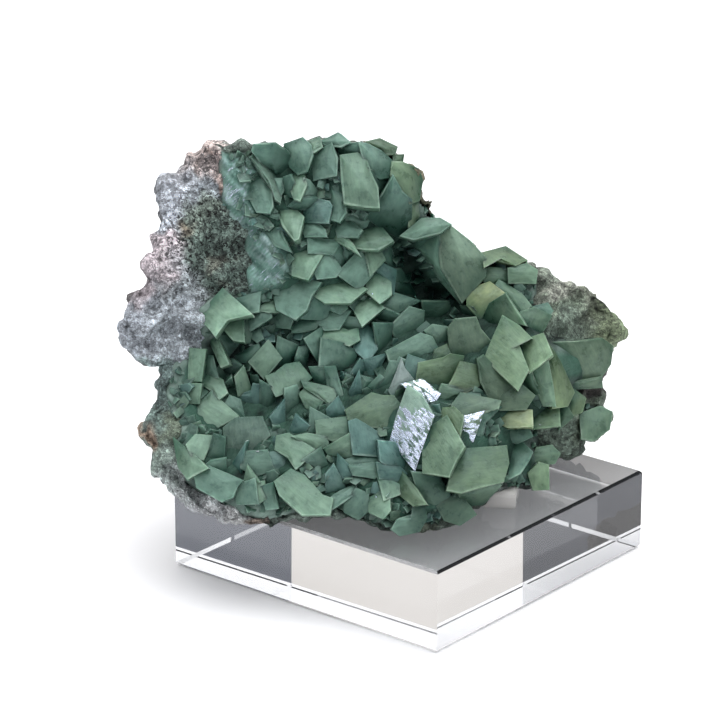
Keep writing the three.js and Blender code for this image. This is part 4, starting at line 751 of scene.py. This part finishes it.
    ("b", 0, 0.3, 4, (11.7,0.8, 13.4,0.4, 15.6,-0.4, 14.6,-2.4, 13.8,-4.6, 11.6,-4, 10.8,-2.4)),
    ("b", 0, 0.2, 3.5, (0.3,9, 3,7, 3.8,3, 1.8,0, 0,1.8, -0.8,4.8, -0.2,7.6)),
    ("d", 0.4, -0.1, 3, (3.4,8.4, 6.4,8.4, 7.6,7.2, 6.8,2, 4,0.4, 2.2,0.2, 4.2,3.4)),
)
# The tones are the faces' colours as they look lit, so they hold painted light and shade as well: pale 'p'
# faces are those that catch the light, dark 'd' ones those in shade.
CRYSTAL_TONES = {"m": "526B60", "p": "5A7262", "d": "3C554B", "o": "4E624F", "n": "4C5E4C",
                 "l": "4A625C", "b": "4A6661", "g": "4E6258", "c": "748468", "s": "647A70",
                 "y": "6E7D68", "k": "6A7674"}
FACE_SPREAD = 0.65          # mm that each corner is moved outward, so that the faces meet
LEAN_GAIN = 1.5             # the leans are this much larger, so that far sides sink under the next
LEAN_SCATTER = 0.12         # and scattered by this much
WALL_LEAN = 0.2             # how far a crystal's sides follow its face's lean, from 0 to 1
FACE_CROWN = (0.13, 0.26)   # its bulge as a share of its half width, below and at the top
SHARPEN_REACH, SHARPEN_AREA = 4.0, 1.6      # a cut corner may grow this far (mm, mm2)
EDGE_STEPS = 4
# Painted light and shade: the factor on a crystal's colour, by how far it stands over the blurred crust in
# mm.
LIGHT_BY_HEIGHT = ([-5, -3, -1.2, 0.4, 2.8], [0.02, 0.2, 0.74, 1.14, 1.36])
DRUSE_LIGHT_BY_HEIGHT = ([-6, -3, -1, 0.6, 2.5], [0.02, 0.16, 0.6, 1.0, 1.2])
# Parts of the crust that are lighter or darker as a whole, as (u, v, radius in mm, change).
TONE_PATCHES = ((-6, 17, 14, 0.45), (25, -27, 13, -0.28), (20, 27, 8, 0.25))
rng = np.random.default_rng(7)

# At the upper left the crust is broken through, in a smooth streaky slope with no crystal faces.
BROKEN_ZONE = np.array([
    (-33.9, 50.8), (-28, 49), (-24.5, 45.4), (-26.6, 43), (-26.4, 38.2), (-24.9, 34.6), (-22.4, 31),
    (-17.2, 26), (-16.2, 21), (-20, 17.2), (-26.5, 15.6), (-28.4, 20), (-28.2, 31), (-33, 34),
    (-33.8, 41)])


def cross(a, b):
    """The cross product of two plane vectors."""
    return a[0] * b[1] - a[1] * b[0]


def sharpen(corners):
    """A crystal's corners are points: while a face has over four sides, its least cut corner is
    replaced by the point where the two sides beside it meet, if that adds little."""
    corners = [np.array(corner) for corner in corners]
    while len(corners) > 4:
        best = None
        for i in range(len(corners)):
            before, start, end, after = (corners[(i + k) % len(corners)] for k in (-1, 0, 1, 2))
            onward, back = start - before, end - after
            turn = cross(onward, back)
            if abs(turn) < 1e-6:
                continue
            along, along_back = cross(end - start, back) / turn, cross(end - start, onward) / turn
            if along < 0 or along_back < 0:
                continue
            point = start + onward * along
            reach = max(np.linalg.norm(point - start), np.linalg.norm(point - end))
            added = abs(cross(point - start, end - start)) / 2
            if reach < SHARPEN_REACH and added < SHARPEN_AREA and (best is None or added < best[0]):
                best = added, i, point
        if best is None:
            break
        _, i, point = best
        corners[i] = point
        corners.pop((i + 1) % len(corners))
    return np.array(corners)


faces = []
for tone, right, up, out, corners in CRYSTALS:
    corners = np.array(corners).reshape(-1, 2)
    turned = cross(corners.T, np.roll(corners, -1, 0).T).sum()
    corners = corners if turned > 0 else corners[::-1]
    corners = sharpen(corners) if corners[:, 1].mean() < 30 else corners
    right, up = (LEAN_GAIN * lean + rng.normal(0, LEAN_SCATTER) for lean in (right, up))
    spread = corners - corners.mean(0)
    corners = corners + spread / np.linalg.norm(spread, axis=1, keepdims=True) * FACE_SPREAD
    faces.append((tone, right, up, relief(*corners.mean(0)) + out, corners))
levels = [(corners.mean(0), height - relief(*corners.mean(0))) for _, _, _, height, corners in faces]


def face_level(u, v):
    """How far the crystals stand over the relief near a point: their heights, each weighted by
    a bell curve of its distance."""
    height, total = 0, 1e-6
    for middle, out in levels:
        share = np.exp(-0.5 * ((u - middle[0]) ** 2 + (v - middle[1]) ** 2) / 3.2 ** 2)
        height, total = height + share * out, total + share
    return height / total


# The crust's height on a fine grid, each face taken as its plane, then blurred over a few
# millimetres: how far a point stands over or under this tells a crystal's tip from its root, for
# the painted light and shade.
FIELD_CELL, FIELD_BLUR = 0.5, 2.6
field_u, field_v = np.arange(-64, 68, FIELD_CELL), np.arange(-50, 62, FIELD_CELL)
fu, fv = np.meshgrid(field_u, field_v, indexing="ij")
field = relief(fu, fv) - 1.5
for tone, right, up, height, corners in faces:
    low, high = corners.min(0) - FIELD_CELL, corners.max(0) + FIELD_CELL
    box = np.ix_((field_u > low[0]) & (field_u < high[0]), (field_v > low[1]) & (field_v < high[1]))
    middle = corners.mean(0)
    plane = height - (fu[box] - middle[0]) * right - (fv[box] - middle[1]) * up
    field[box] = np.where(inside(fu[box], fv[box], corners), np.maximum(field[box], plane), field[box])


def bell(line, width):
    """A matrix that blurs along a line of evenly spaced points with a bell curve."""
    weight = np.exp(-0.5 * ((line[:, None] - line[None]) / width) ** 2)
    return weight / weight.sum(1, keepdims=True)


planes = field
field = bell(field_u, FIELD_BLUR) @ planes @ bell(field_v, FIELD_BLUR).T


def standing(points):
    """How far points in the face's frame stand over the blurred crust, in mm. Left of the pit the
    painted shade is lifted, as if all there stood 1.3 mm higher."""
    closeness = 1 - points[:, 2] / VIEW_DISTANCE
    i, j = (np.clip(((points[:, k] / closeness - line[0]) / FIELD_CELL).round().astype(int),
                    0, len(line) - 1) for k, line in enumerate((field_u, field_v)))
    # Painted shade made lighter around (-8, 18).
    shade_lift = np.exp(-((points[:, :2] - (-8, 18)) ** 2).sum(-1) / 13 ** 2)
    return points[:, 2] - field[i, j] + 1.3 * shade_lift


# The deepest gaps between the crystals, as (u, v, radius in mm): no light reaches down there.
GAPS = ((-13, 1, 7), (-27, 1, 6), (-3, -3, 5), (-29, -27.5, 1.6), (-6, -24.2, 1.2), (31, -19, 1.6),
        (20, -29, 1.5), (8, -35, 2.2), (28.8, -7.4, 1.5), (-30.6, 2.4, 1.2), (-11, -1.5, 1.3),
        (-1, 3.2, 1), (49, 10, 1.6), (-24, -12.8, 1), (-2.4, -6.2, 1.3), (-36, 3.5, 1.4), (-15.8, -0.2, 1))
# The pit under the longest crystal, painted in shade as a whole, in the same terms.
PIT = ((11.5, 25, 4), (13.5, 20, 4.4), (17, 16, 3.8))


def open_gap(points):
    """The painted shade of the deep gaps and the pit: from 1 outside them to near 0 inside, for what lies
    below the faces.
    """
    closeness = 1 - points[:, 2] / VIEW_DISTANCE
    u, v = points[:, 0] / closeness, points[:, 1] / closeness
    below = step(1.0, -0.8, standing(points))
    low = step(6.5, 4.5, points[:, 2] - relief(u, v))
    return np.prod([1 - 0.92 * hidden * np.exp(-((u - gu) ** 2 + (v - gv) ** 2) / radius ** 2)
                    for spots, hidden in ((GAPS, below), (PIT, low))
                    for gu, gv, radius in spots], axis=0)


def crystal_rings(corners, right, up, height, depth, bevel, drop, shares, edge_steps):
    """A crystal as rings of points: from the middle of its face, by shares of the way, to the
    face's bevelled edge, then back into the druse to its root.
    Returns the points, how near an edge each lies, how far it stands out over the face's middle,
    and its place along and across the face."""
    t = np.arange(edge_steps) / edge_steps
    following = np.roll(corners, -1, 0)
    outline = (corners[:, None] + (following - corners)[:, None] * t[None, :, None]).reshape(-1, 2)
    middle = corners.mean(0)
    centre = place(middle[0], middle[1], height)
    normal = np.array([right, up, 1.0])
    normal /= np.linalg.norm(normal)

    def on_face(points):
        """The points seen at (u, v) that lie on the tilted face."""
        seen = place(points[:, 0], points[:, 1], height)
        for _ in range(3):
            offset = (seen[:, 0] - centre[0]) * right + (seen[:, 1] - centre[1]) * up
            seen = place(points[:, 0], points[:, 1], height - offset)
        return seen

    reach = np.linalg.norm(outline - middle, axis=1, keepdims=True)
    inset = middle + (outline - middle) * np.clip(1 - bevel / reach, 0.3, 1)
    inner = middle + (outline - middle) * np.clip(1 - (bevel + 0.3) / reach, 0.2, 1)
    rim_line = on_face(outline) - normal * drop
    crown = np.array([0, 0, np.interp(middle[1], [15, 30], FACE_CROWN) * reach.mean()])
    rings = [on_face(middle + (inner - middle) * share) + crown * (1 - share ** 2) for share in shares]
    rings += [on_face(inner), on_face(inset), rim_line]
    near_edge = [0] * (len(shares) + 1) + [1, 0.6]
    outward = (rim_line - centre) / np.linalg.norm(rim_line - centre, axis=1, keepdims=True)
    inward = -(normal * WALL_LEAN + np.array([0, 0, 1 - WALL_LEAN]))
    for back, spread in ((0.5, 0.05), (1.8, 0.1), (3.8, 0.1), (depth, -0.3)):
        rings.append(rim_line + outward * spread + inward * back)
        near_edge.append(0)
    points = np.array(rings)
    count = len(outline)
    points = np.vstack([points[0].mean(0)[None], points.reshape(-1, 3), points[-1].mean(0)[None]])
    near_side = points[:, 2] - height
    near_edge = np.concatenate([[0], np.repeat(near_edge, count), [0]]) * step(-0.3, 1.6, near_side)
    longest = np.argmax(np.linalg.norm(following - corners, axis=1))
    axis = following[longest] - corners[longest]
    axis /= np.linalg.norm(axis)
    flat_place = points[:, :2] - middle
    grain = np.stack([flat_place @ axis, flat_place @ np.array([-axis[1], axis[0]])], -1)
    return points, near_edge, near_side, grain, len(rings), count


def crystal_piece(name, parts, material):
    """One mesh from many crystals, with their tint, painted with light and shade, their edges and growth
    direction as attributes.
    """
    points, triangles, quads, tint, edge, near, grain, painted_gradient = [], [], [], [], [], [], [], []
    start = 0
    for n, (part, colour) in enumerate(parts):
        part_points, near_edge, near_side, part_grain, ring_count, count = part
        q, f = ring_faces(ring_count, count, start)
        quads += q
        triangles += f
        points.append(part_points)
        tint.append(np.tile(colour, (len(part_points), 1)))
        edge.append(near_edge)
        near.append(near_side)
        # Each crystal is painted lighter toward one end of its grain and darker toward the other, as light
        # falling across its face.
        painted_gradient.append(1 + rng.uniform(-0.1, 0.1) * np.clip(part_grain[:, 0], -4, 4))
        grain.append(np.hstack([part_grain, np.full((len(part_grain), 1), 7.3 * n)]))
        start += len(part_points)
    points = np.vstack(points)
    # Painted light and shade: lighter where a point stands over the blurred crust, darker at the roots, in
    # the deep gaps and below a face's middle.
    light = np.interp(standing(points), *LIGHT_BY_HEIGHT)
    light *= open_gap(points) * np.interp(np.concatenate(near), [-2.5, 0, 2], [0.62, 0.97, 1.17])
    light *= np.concatenate(painted_gradient)
    # Painted shade turns greener as it darkens, and painted light turns paler as it brightens.
    deep = np.clip(1 - light, 0, 1)[:, None] * np.array([0.7, 0.0, 0.15])
    pale = np.clip(light - 0.9, 0, 0.6)[:, None] * np.array([0.15, 0.05, 0.12])
    colours = np.vstack(tint) * light[:, None] * (1 - deep) * (1 + pale)
    colours = np.hstack([colours, np.ones((len(points), 1))])
    piece = mesh_piece(name, to_world(points), np.vstack(quads).tolist() + np.vstack(triangles).tolist(),
                       smooth_angle=np.radians(25))
    # The edges' pale colour is a painted highlight, strongest on lit edges.
    dress(piece, colours, np.concatenate(edge) * np.clip(light, 0, 1) ** 2, np.vstack(grain), material)
    return piece


def mark(piece, name, values, kind="FLOAT", member="value"):
    """Adds an attribute to the mesh, with a value for each of its points."""
    attribute = piece.data.attributes.new(name, kind, "POINT")
    attribute.data.foreach_set(member, np.asarray(values, np.float32).ravel())


def dress(piece, colours, edge, grain, material):
    """Gives a piece of the crust its attributes and material, and says what it stands for."""
    mark(piece, "tint", colours, "FLOAT_COLOR", "color")
    mark(piece, "edge", edge)
    mark(piece, "grain", grain, "FLOAT_VECTOR", "vector")
    piece.data.materials.append(material)
    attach(piece, "root")
    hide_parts("heulandite_crust")


CLOUDS = 420.0              # to a metre, so each cloud in the crystals is 2.4 mm wide
FINE_GRAIN = 1800.0         # to a metre, so the satin finish has a grain of 0.6 mm


def heulandite_colour(tree):
    """The crystals' clouded green, with pale thin edges, painted as a highlight where the edges stand up and
    are lit, and faint growth lines along each face.
    Returns the colour, the cloud pattern and the growth lines."""
    tint_node = add(tree, "ShaderNodeAttribute", {"attribute_name": "tint"})
    edge_node = add(tree, "ShaderNodeAttribute", {"attribute_name": "edge"})
    grain_node = add(tree, "ShaderNodeAttribute", {"attribute_name": "grain"})
    where = add(tree, "ShaderNodeTexCoord")
    cloud = add(tree, "ShaderNodeTexNoise", Vector=where.outputs["Object"], Scale=CLOUDS, Detail=6.0,
                Roughness=0.6)
    stretched = add(tree, "ShaderNodeMapping", Vector=grain_node.outputs["Vector"],
                    Scale=(0.4, 1.3, 1.0))
    lines = add(tree, "ShaderNodeTexNoise", Vector=stretched.outputs[0], Scale=1.0, Detail=4.0)
    cloud_tone = add(tree, "ShaderNodeValToRGB", Fac=cloud.outputs["Fac"],
                     stops=((0.32, (0.75, 0.77, 0.77, 1)), (0.68, (1.24, 1.22, 1.19, 1))))
    line_tone = add(tree, "ShaderNodeValToRGB", Fac=lines.outputs["Fac"],
                    stops=((0.35, (0.9, 0.92, 0.92, 1)), (0.65, (1.09, 1.08, 1.07, 1))))
    clouded = add(tree, "ShaderNodeMix", MULTIPLIED, i0=1.0, i6=tint_node.outputs["Color"],
                  i7=cloud_tone.outputs["Color"])
    lined = add(tree, "ShaderNodeMix", MULTIPLIED, i0=1.0, i6=clouded.outputs[2],
                i7=line_tone.outputs["Color"])
    # The painted edge highlight, patchy with the clouds, takes up to 0.42 of the pale edge colour.
    pale = add(tree, "ShaderNodeMapRange", Value=cloud.outputs["Fac"], i1=0.4, i2=0.65, i4=0.42)
    edge_amount = add(tree, "ShaderNodeMath", {"operation": "MULTIPLY"}, i0=edge_node.outputs["Fac"],
                      i1=pale.outputs[0])
    edged = add(tree, "ShaderNodeMix", {"data_type": "RGBA"}, i0=edge_amount.outputs[0],
                i6=lined.outputs[2], i7=linear("A9B8A8"))
    return edged.outputs[2], cloud, lines


# Fresh heulandite is satin: its light comes from some way inside, and growth lines ripple the gloss.
heulandite, tree = new_material("green_heulandite")
colour, cloud, lines = heulandite_colour(tree)
where = add(tree, "ShaderNodeTexCoord")
fine = add(tree, "ShaderNodeTexNoise", Vector=where.outputs["Object"], Scale=FINE_GRAIN, Detail=4.0)
gloss = add(tree, "ShaderNodeMapRange", Value=cloud.outputs["Fac"], i1=0.35, i2=0.65, i3=0.22, i4=0.5)
bump = add(tree, "ShaderNodeBump", Strength=0.35, Distance=0.0004, Height=lines.outputs["Fac"])
bump = add(tree, "ShaderNodeBump", Strength=0.3, Distance=0.00006, Height=fine.outputs["Fac"],
           Normal=bump.outputs[0])
shader = add(tree, "ShaderNodeBsdfPrincipled", Base_Color=colour, Roughness=gloss.outputs[0],
             Specular_IOR_Level=0.35, Specular_Tint=(0.7, 1.0, 0.92, 1.0), IOR=1.5,
             Subsurface_Weight=0.75, Subsurface_Radius=(0.8, 1.0, 0.88), Subsurface_Scale=0.0025,
             Normal=bump.outputs[0])
add(tree, "ShaderNodeOutputMaterial", Surface=shader.outputs[0])

# Cleavage faces: where a crystal has split, fresh patches of the face are pearly and mirror the
# light in white streaks along the crystal.
pearl, tree = new_material("pearly_cleavage")
colour, _, _ = heulandite_colour(tree)
grain_node = add(tree, "ShaderNodeAttribute", {"attribute_name": "grain"})
turned = add(tree, "ShaderNodeMapping", Vector=grain_node.outputs["Vector"], Scale=(0.4, 1.0, 1.0))
flecks = add(tree, "ShaderNodeTexNoise", Vector=turned.outputs[0], Scale=1.0, Detail=6.0,
             Roughness=0.65, Distortion=0.6)
fresh_node = add(tree, "ShaderNodeAttribute", {"attribute_name": "fresh"})
reach = add(tree, "ShaderNodeMath", {"operation": "MULTIPLY_ADD"}, i0=fresh_node.outputs["Fac"], i1=0.36,
            i2=flecks.outputs["Fac"])
split = add(tree, "ShaderNodeMapRange", {"interpolation_type": "SMOOTHSTEP"}, Value=reach.outputs[0],
            i1=0.79, i2=0.88)
pearly = add(tree, "ShaderNodeMix", {"data_type": "RGBA"}, i0=split.outputs[0], i6=colour,
             i7=linear("E2ECFF"))
bump = add(tree, "ShaderNodeBump", Strength=1.0, Distance=0.0004, Height=flecks.outputs["Fac"])
shader = add(tree, "ShaderNodeBsdfPrincipled", Base_Color=pearly.outputs[2], Roughness=0.25, IOR=1.5,
             Metallic=split.outputs[0], Specular_IOR_Level=0.15, Specular_Tint=(0.7, 1.0, 0.92, 1.0),
             Subsurface_Weight=0.6, Subsurface_Radius=(0.8, 1.0, 0.88), Subsurface_Scale=0.0025,
             Normal=bump.outputs[0])
add(tree, "ShaderNodeOutputMaterial", Surface=shader.outputs[0])

large, mirrors = [], []
for tone, right, up, height, corners in faces:
    shade = rgb(CRYSTAL_TONES[tone]) * rng.uniform(0.88, 1.12)
    shade = shade * (1 + np.array([0.06, 0.0, -0.14]) * step(5, 35, corners[:, 0].mean()))
    for pu, pv, radius, change in TONE_PATCHES:
        shade *= 1 + change * np.exp(-((corners.mean(0) - (pu, pv)) ** 2).sum() / radius ** 2)
    out = height - relief(*corners.mean(0))
    part = crystal_rings(corners, right, up, height, out + 5, rng.uniform(0.1, 0.3),
                         rng.uniform(0.04, 0.12), (0.02, 0.35, 0.7), EDGE_STEPS)
    (mirrors if tone == "s" else large).append((part, shade))
# Glints: flakes under a millimetre wide that have split off and catch the light.
GLINTS = ((-18.4, 39.3), (-12.6, 36.3), (-20.4, 36.3), (-26.4, 33.6), (-12.3, 30.5), (-24.7, -22),
          (-21.8, -21.9), (-33, -28.8), (-7.1, -32.4), (-23.5, -36.5), (4, -33), (23.2, 10.6),
          (25, 10.9), (3, 16), (2.5, 14.8), (-41.4, -9.4), (-40, -13), (37, -21), (42.5, -25),
          (39.5, 3.7), (38.5, -14), (43.5, -15.5), (19, -39))
for u, v in GLINTS:
    angles = rng.uniform(0, np.pi / 2) + np.pi / 2 * np.arange(4)
    corners = np.stack([u + rng.uniform(0.2, 0.5) * np.cos(angles),
                        v + rng.uniform(0.1, 0.3) * np.sin(angles)], -1)
    level = planes[int((u - field_u[0]) / FIELD_CELL), int((v - field_v[0]) / FIELD_CELL)] + 0.2
    flake = crystal_rings(corners, rng.normal(0, 0.2), rng.normal(0.3, 0.2), level, 1.6, 0.05, 0.03,
                          (0.02,), 1)
    mirrors.append((flake, rgb("A8B4B0")))
crystal_piece("large_crystals", large, heulandite)
cleavage = crystal_piece("cleavage_faces", mirrors, pearl)
# The first and longest one has split only below its upper end.
fresh = np.ones(len(cleavage.data.vertices))
longest_points = mirrors[0][0][0]
fresh[:len(longest_points)] = step(-8.5, -12.5, longest_points[:, 1])
mark(cleavage, "fresh", fresh)


# The druse: small crystals of the same heulandite, 1 to 4.5 mm long, fill the gaps between the
# large ones and cover the crust's border. They grew on the rock first, each at its own angle.
SMALL_STEP = 1.5
SMALL_TONES = ("m", "m", "m", "p", "d", "b", "m", "m")
grid_u, grid_v = np.meshgrid(np.arange(-47, 61, SMALL_STEP), np.arange(-42, 54, SMALL_STEP))
seeds = np.stack([grid_u.ravel(), grid_v.ravel()], -1)
seeds = seeds + rng.uniform(-0.7, 0.7, seeds.shape)
covered = depth_inside(seeds[:, 0], seeds[:, 1], BROKEN_ZONE) > 2.0
for gu, gv, radius in PIT:
    near_pit = np.hypot(seeds[:, 0] - gu, seeds[:, 1] - gv) < radius
    covered |= near_pit & (rng.random(len(seeds)) < 0.6)
for tone, right, up, height, corners in faces:
    covered |= depth_inside(seeds[:, 0], seeds[:, 1], corners) > -0.2
seed_depth = depth_inside(seeds[:, 0], seeds[:, 1], CRUST_OUTLINE)
free = ~covered & (seed_depth > 0.3)
seeds, seed_depth = seeds[free], seed_depth[free]
small = []
for (u, v), edge_distance in zip(seeds, seed_depth):
    sides = rng.integers(4, 6)
    radius = rng.uniform(1.0, 2.3) * np.interp(edge_distance, [0, 3], [0.35, 1])
    first = rng.uniform(0, 2 * np.pi)
    angles = first + 2 * np.pi * (np.arange(sides) + rng.uniform(-0.25, 0.25, sides)) / sides
    stretch, lean = rng.uniform(0.5, 0.9), rng.uniform(0, np.pi)
    x, y = radius * np.cos(angles), radius * stretch * np.sin(angles)
    corners = np.stack([u + x * np.cos(lean) - y * np.sin(lean),
                        v + x * np.sin(lean) + y * np.cos(lean)], -1)
    right, up = rng.normal(0, 0.5), rng.normal(0.25, 0.5)
    level = relief(u, v) + np.interp(edge_distance, [0, 4], [0.2, 1]) * face_level(u, v)
    level -= rng.uniform(0.4, 1.8)
    tone = SMALL_TONES[rng.integers(len(SMALL_TONES))]
    # Each is painted darker than its tone by a random share, partly painted shade for the gaps it sits in.
    shade = rgb(CRYSTAL_TONES[tone]) * rng.uniform(0.6, 0.95)
    small.append((crystal_rings(corners, right, up, level, 4.0, 0.1, 0.04, (0.02,), 1), shade))
crystal_piece("small_crystals", small, heulandite)

# Under them the druse is one closed sheet, which dips into the rock at its border.
SHEET_CELL = 0.6
sheet_u, sheet_v = np.arange(-50, 63, SHEET_CELL), np.arange(-44, 56, SHEET_CELL)
su, sv = np.meshgrid(sheet_u, sheet_v, indexing="ij")
depth = depth_inside(su, sv, CRUST_OUTLINE)
at = np.stack([su, sv, 0 * su], -1)
top = relief(su, sv) + np.interp(depth, [0, 4], [0.3, 1]) * face_level(su, sv) - 1.6
top += 0.5 * swirl(at, 2.2, 21) + 0.5 * (pebbles(at.reshape(-1, 3), 1.6, 26).reshape(su.shape) - 0.5)
broken = step(-0.8, 1.6, depth_inside(su, sv, BROKEN_ZONE))
streak = np.stack([(su + sv) / 1.1, (su - sv) / 5.0, 0 * su], -1)
slope = (relief(su, sv) + np.interp(depth, [0, 5], [0.5, 2.0]) + 0.5 * swirl(streak, 1.0, 22)
         + 0.3 * swirl(streak, 0.5, 23) + 0.9 * swirl(at, 5.0, 27))
top = top * (1 - broken) + slope * broken
top -= 4.0 * step(0.2, -1.4, depth)
upper = place(su, sv, top)
lower = place(su, sv, relief(su, sv) - 6.5)
keep = (depth > -1.4) & (depth_inside(su, sv, OUTLINE) > 1.2)
cells = keep[:-1, :-1] & keep[1:, :-1] & keep[:-1, 1:] & keep[1:, 1:]
index = np.arange(su.size).reshape(su.shape)
corner = [index[:-1, :-1], index[1:, :-1], index[1:, 1:], index[:-1, 1:]]
top_faces = np.stack([c[cells] for c in corner], -1)
bottom_faces = top_faces[:, ::-1] + su.size
padded = np.pad(cells, 1)
walls = []
for (a, b), beside in (((0, 1), padded[1:-1, :-2]), ((1, 2), padded[2:, 1:-1]),
                       ((2, 3), padded[1:-1, 2:]), ((3, 0), padded[:-2, 1:-1])):
    open_side = cells & ~beside
    p, q = corner[a][open_side], corner[b][open_side]
    walls.append(np.stack([p, p + su.size, q + su.size, q], -1))
sheet_faces = np.vstack([top_faces, bottom_faces, *walls])
used, compact = np.unique(sheet_faces, return_inverse=True)
sheet_points = np.vstack([upper.reshape(-1, 3), lower.reshape(-1, 3)])[used]
sheet = mesh_piece("druse_sheet", to_world(sheet_points), compact.reshape(sheet_faces.shape).tolist(),
                   smooth_angle=np.radians(180))
zone = np.concatenate([broken.ravel(), broken.ravel()])[used][:, None]
pale = (0.5 + 0.5 * swirl(streak, 0.7, 24)).ravel() ** 3 * 0.75
pale = np.concatenate([pale, pale])[used][:, None]
slope_tint = rgb("5C7D73") * (1 - pale) + rgb("B2C6C8") * pale
# The sheet is painted with light and shade like the crystals: by how far it stands over the blurred crust,
# and dark in the deep gaps and the pit.
light = np.interp(standing(sheet_points), *DRUSE_LIGHT_BY_HEIGHT)[:, None]
light *= open_gap(sheet_points)[:, None]
light *= 1 + 0.35 * zone * np.tile(swirl(streak, 1.4, 28).ravel(), 2)[used][:, None]
border = step(4.0, 1.0, np.concatenate([depth.ravel(), depth.ravel()])[used])[:, None]
# Its base green is darker than the crystals', painted shade for the gaps it fills, and paler toward the
# crust's border.
druse_tint = rgb("3C5A4E") * (1 - border) + rgb("7D9189") * border
tint = np.hstack([light * (druse_tint * (1 - zone) + slope_tint * zone), np.ones((len(used), 1))])
turn = np.array([[0.7, 0.7, 0], [-0.7, 0.7, 0], [0, 0, 1]])
fresh = zone[:, 0] * (0.64 + 0.16 * np.tile(swirl(at, 5.0, 29).ravel(), 2)[used])
dress(sheet, tint, np.zeros(len(used)), sheet_points @ turn.T * (0.87, 2.6, 1), pearl)
mark(sheet, "fresh", fresh)
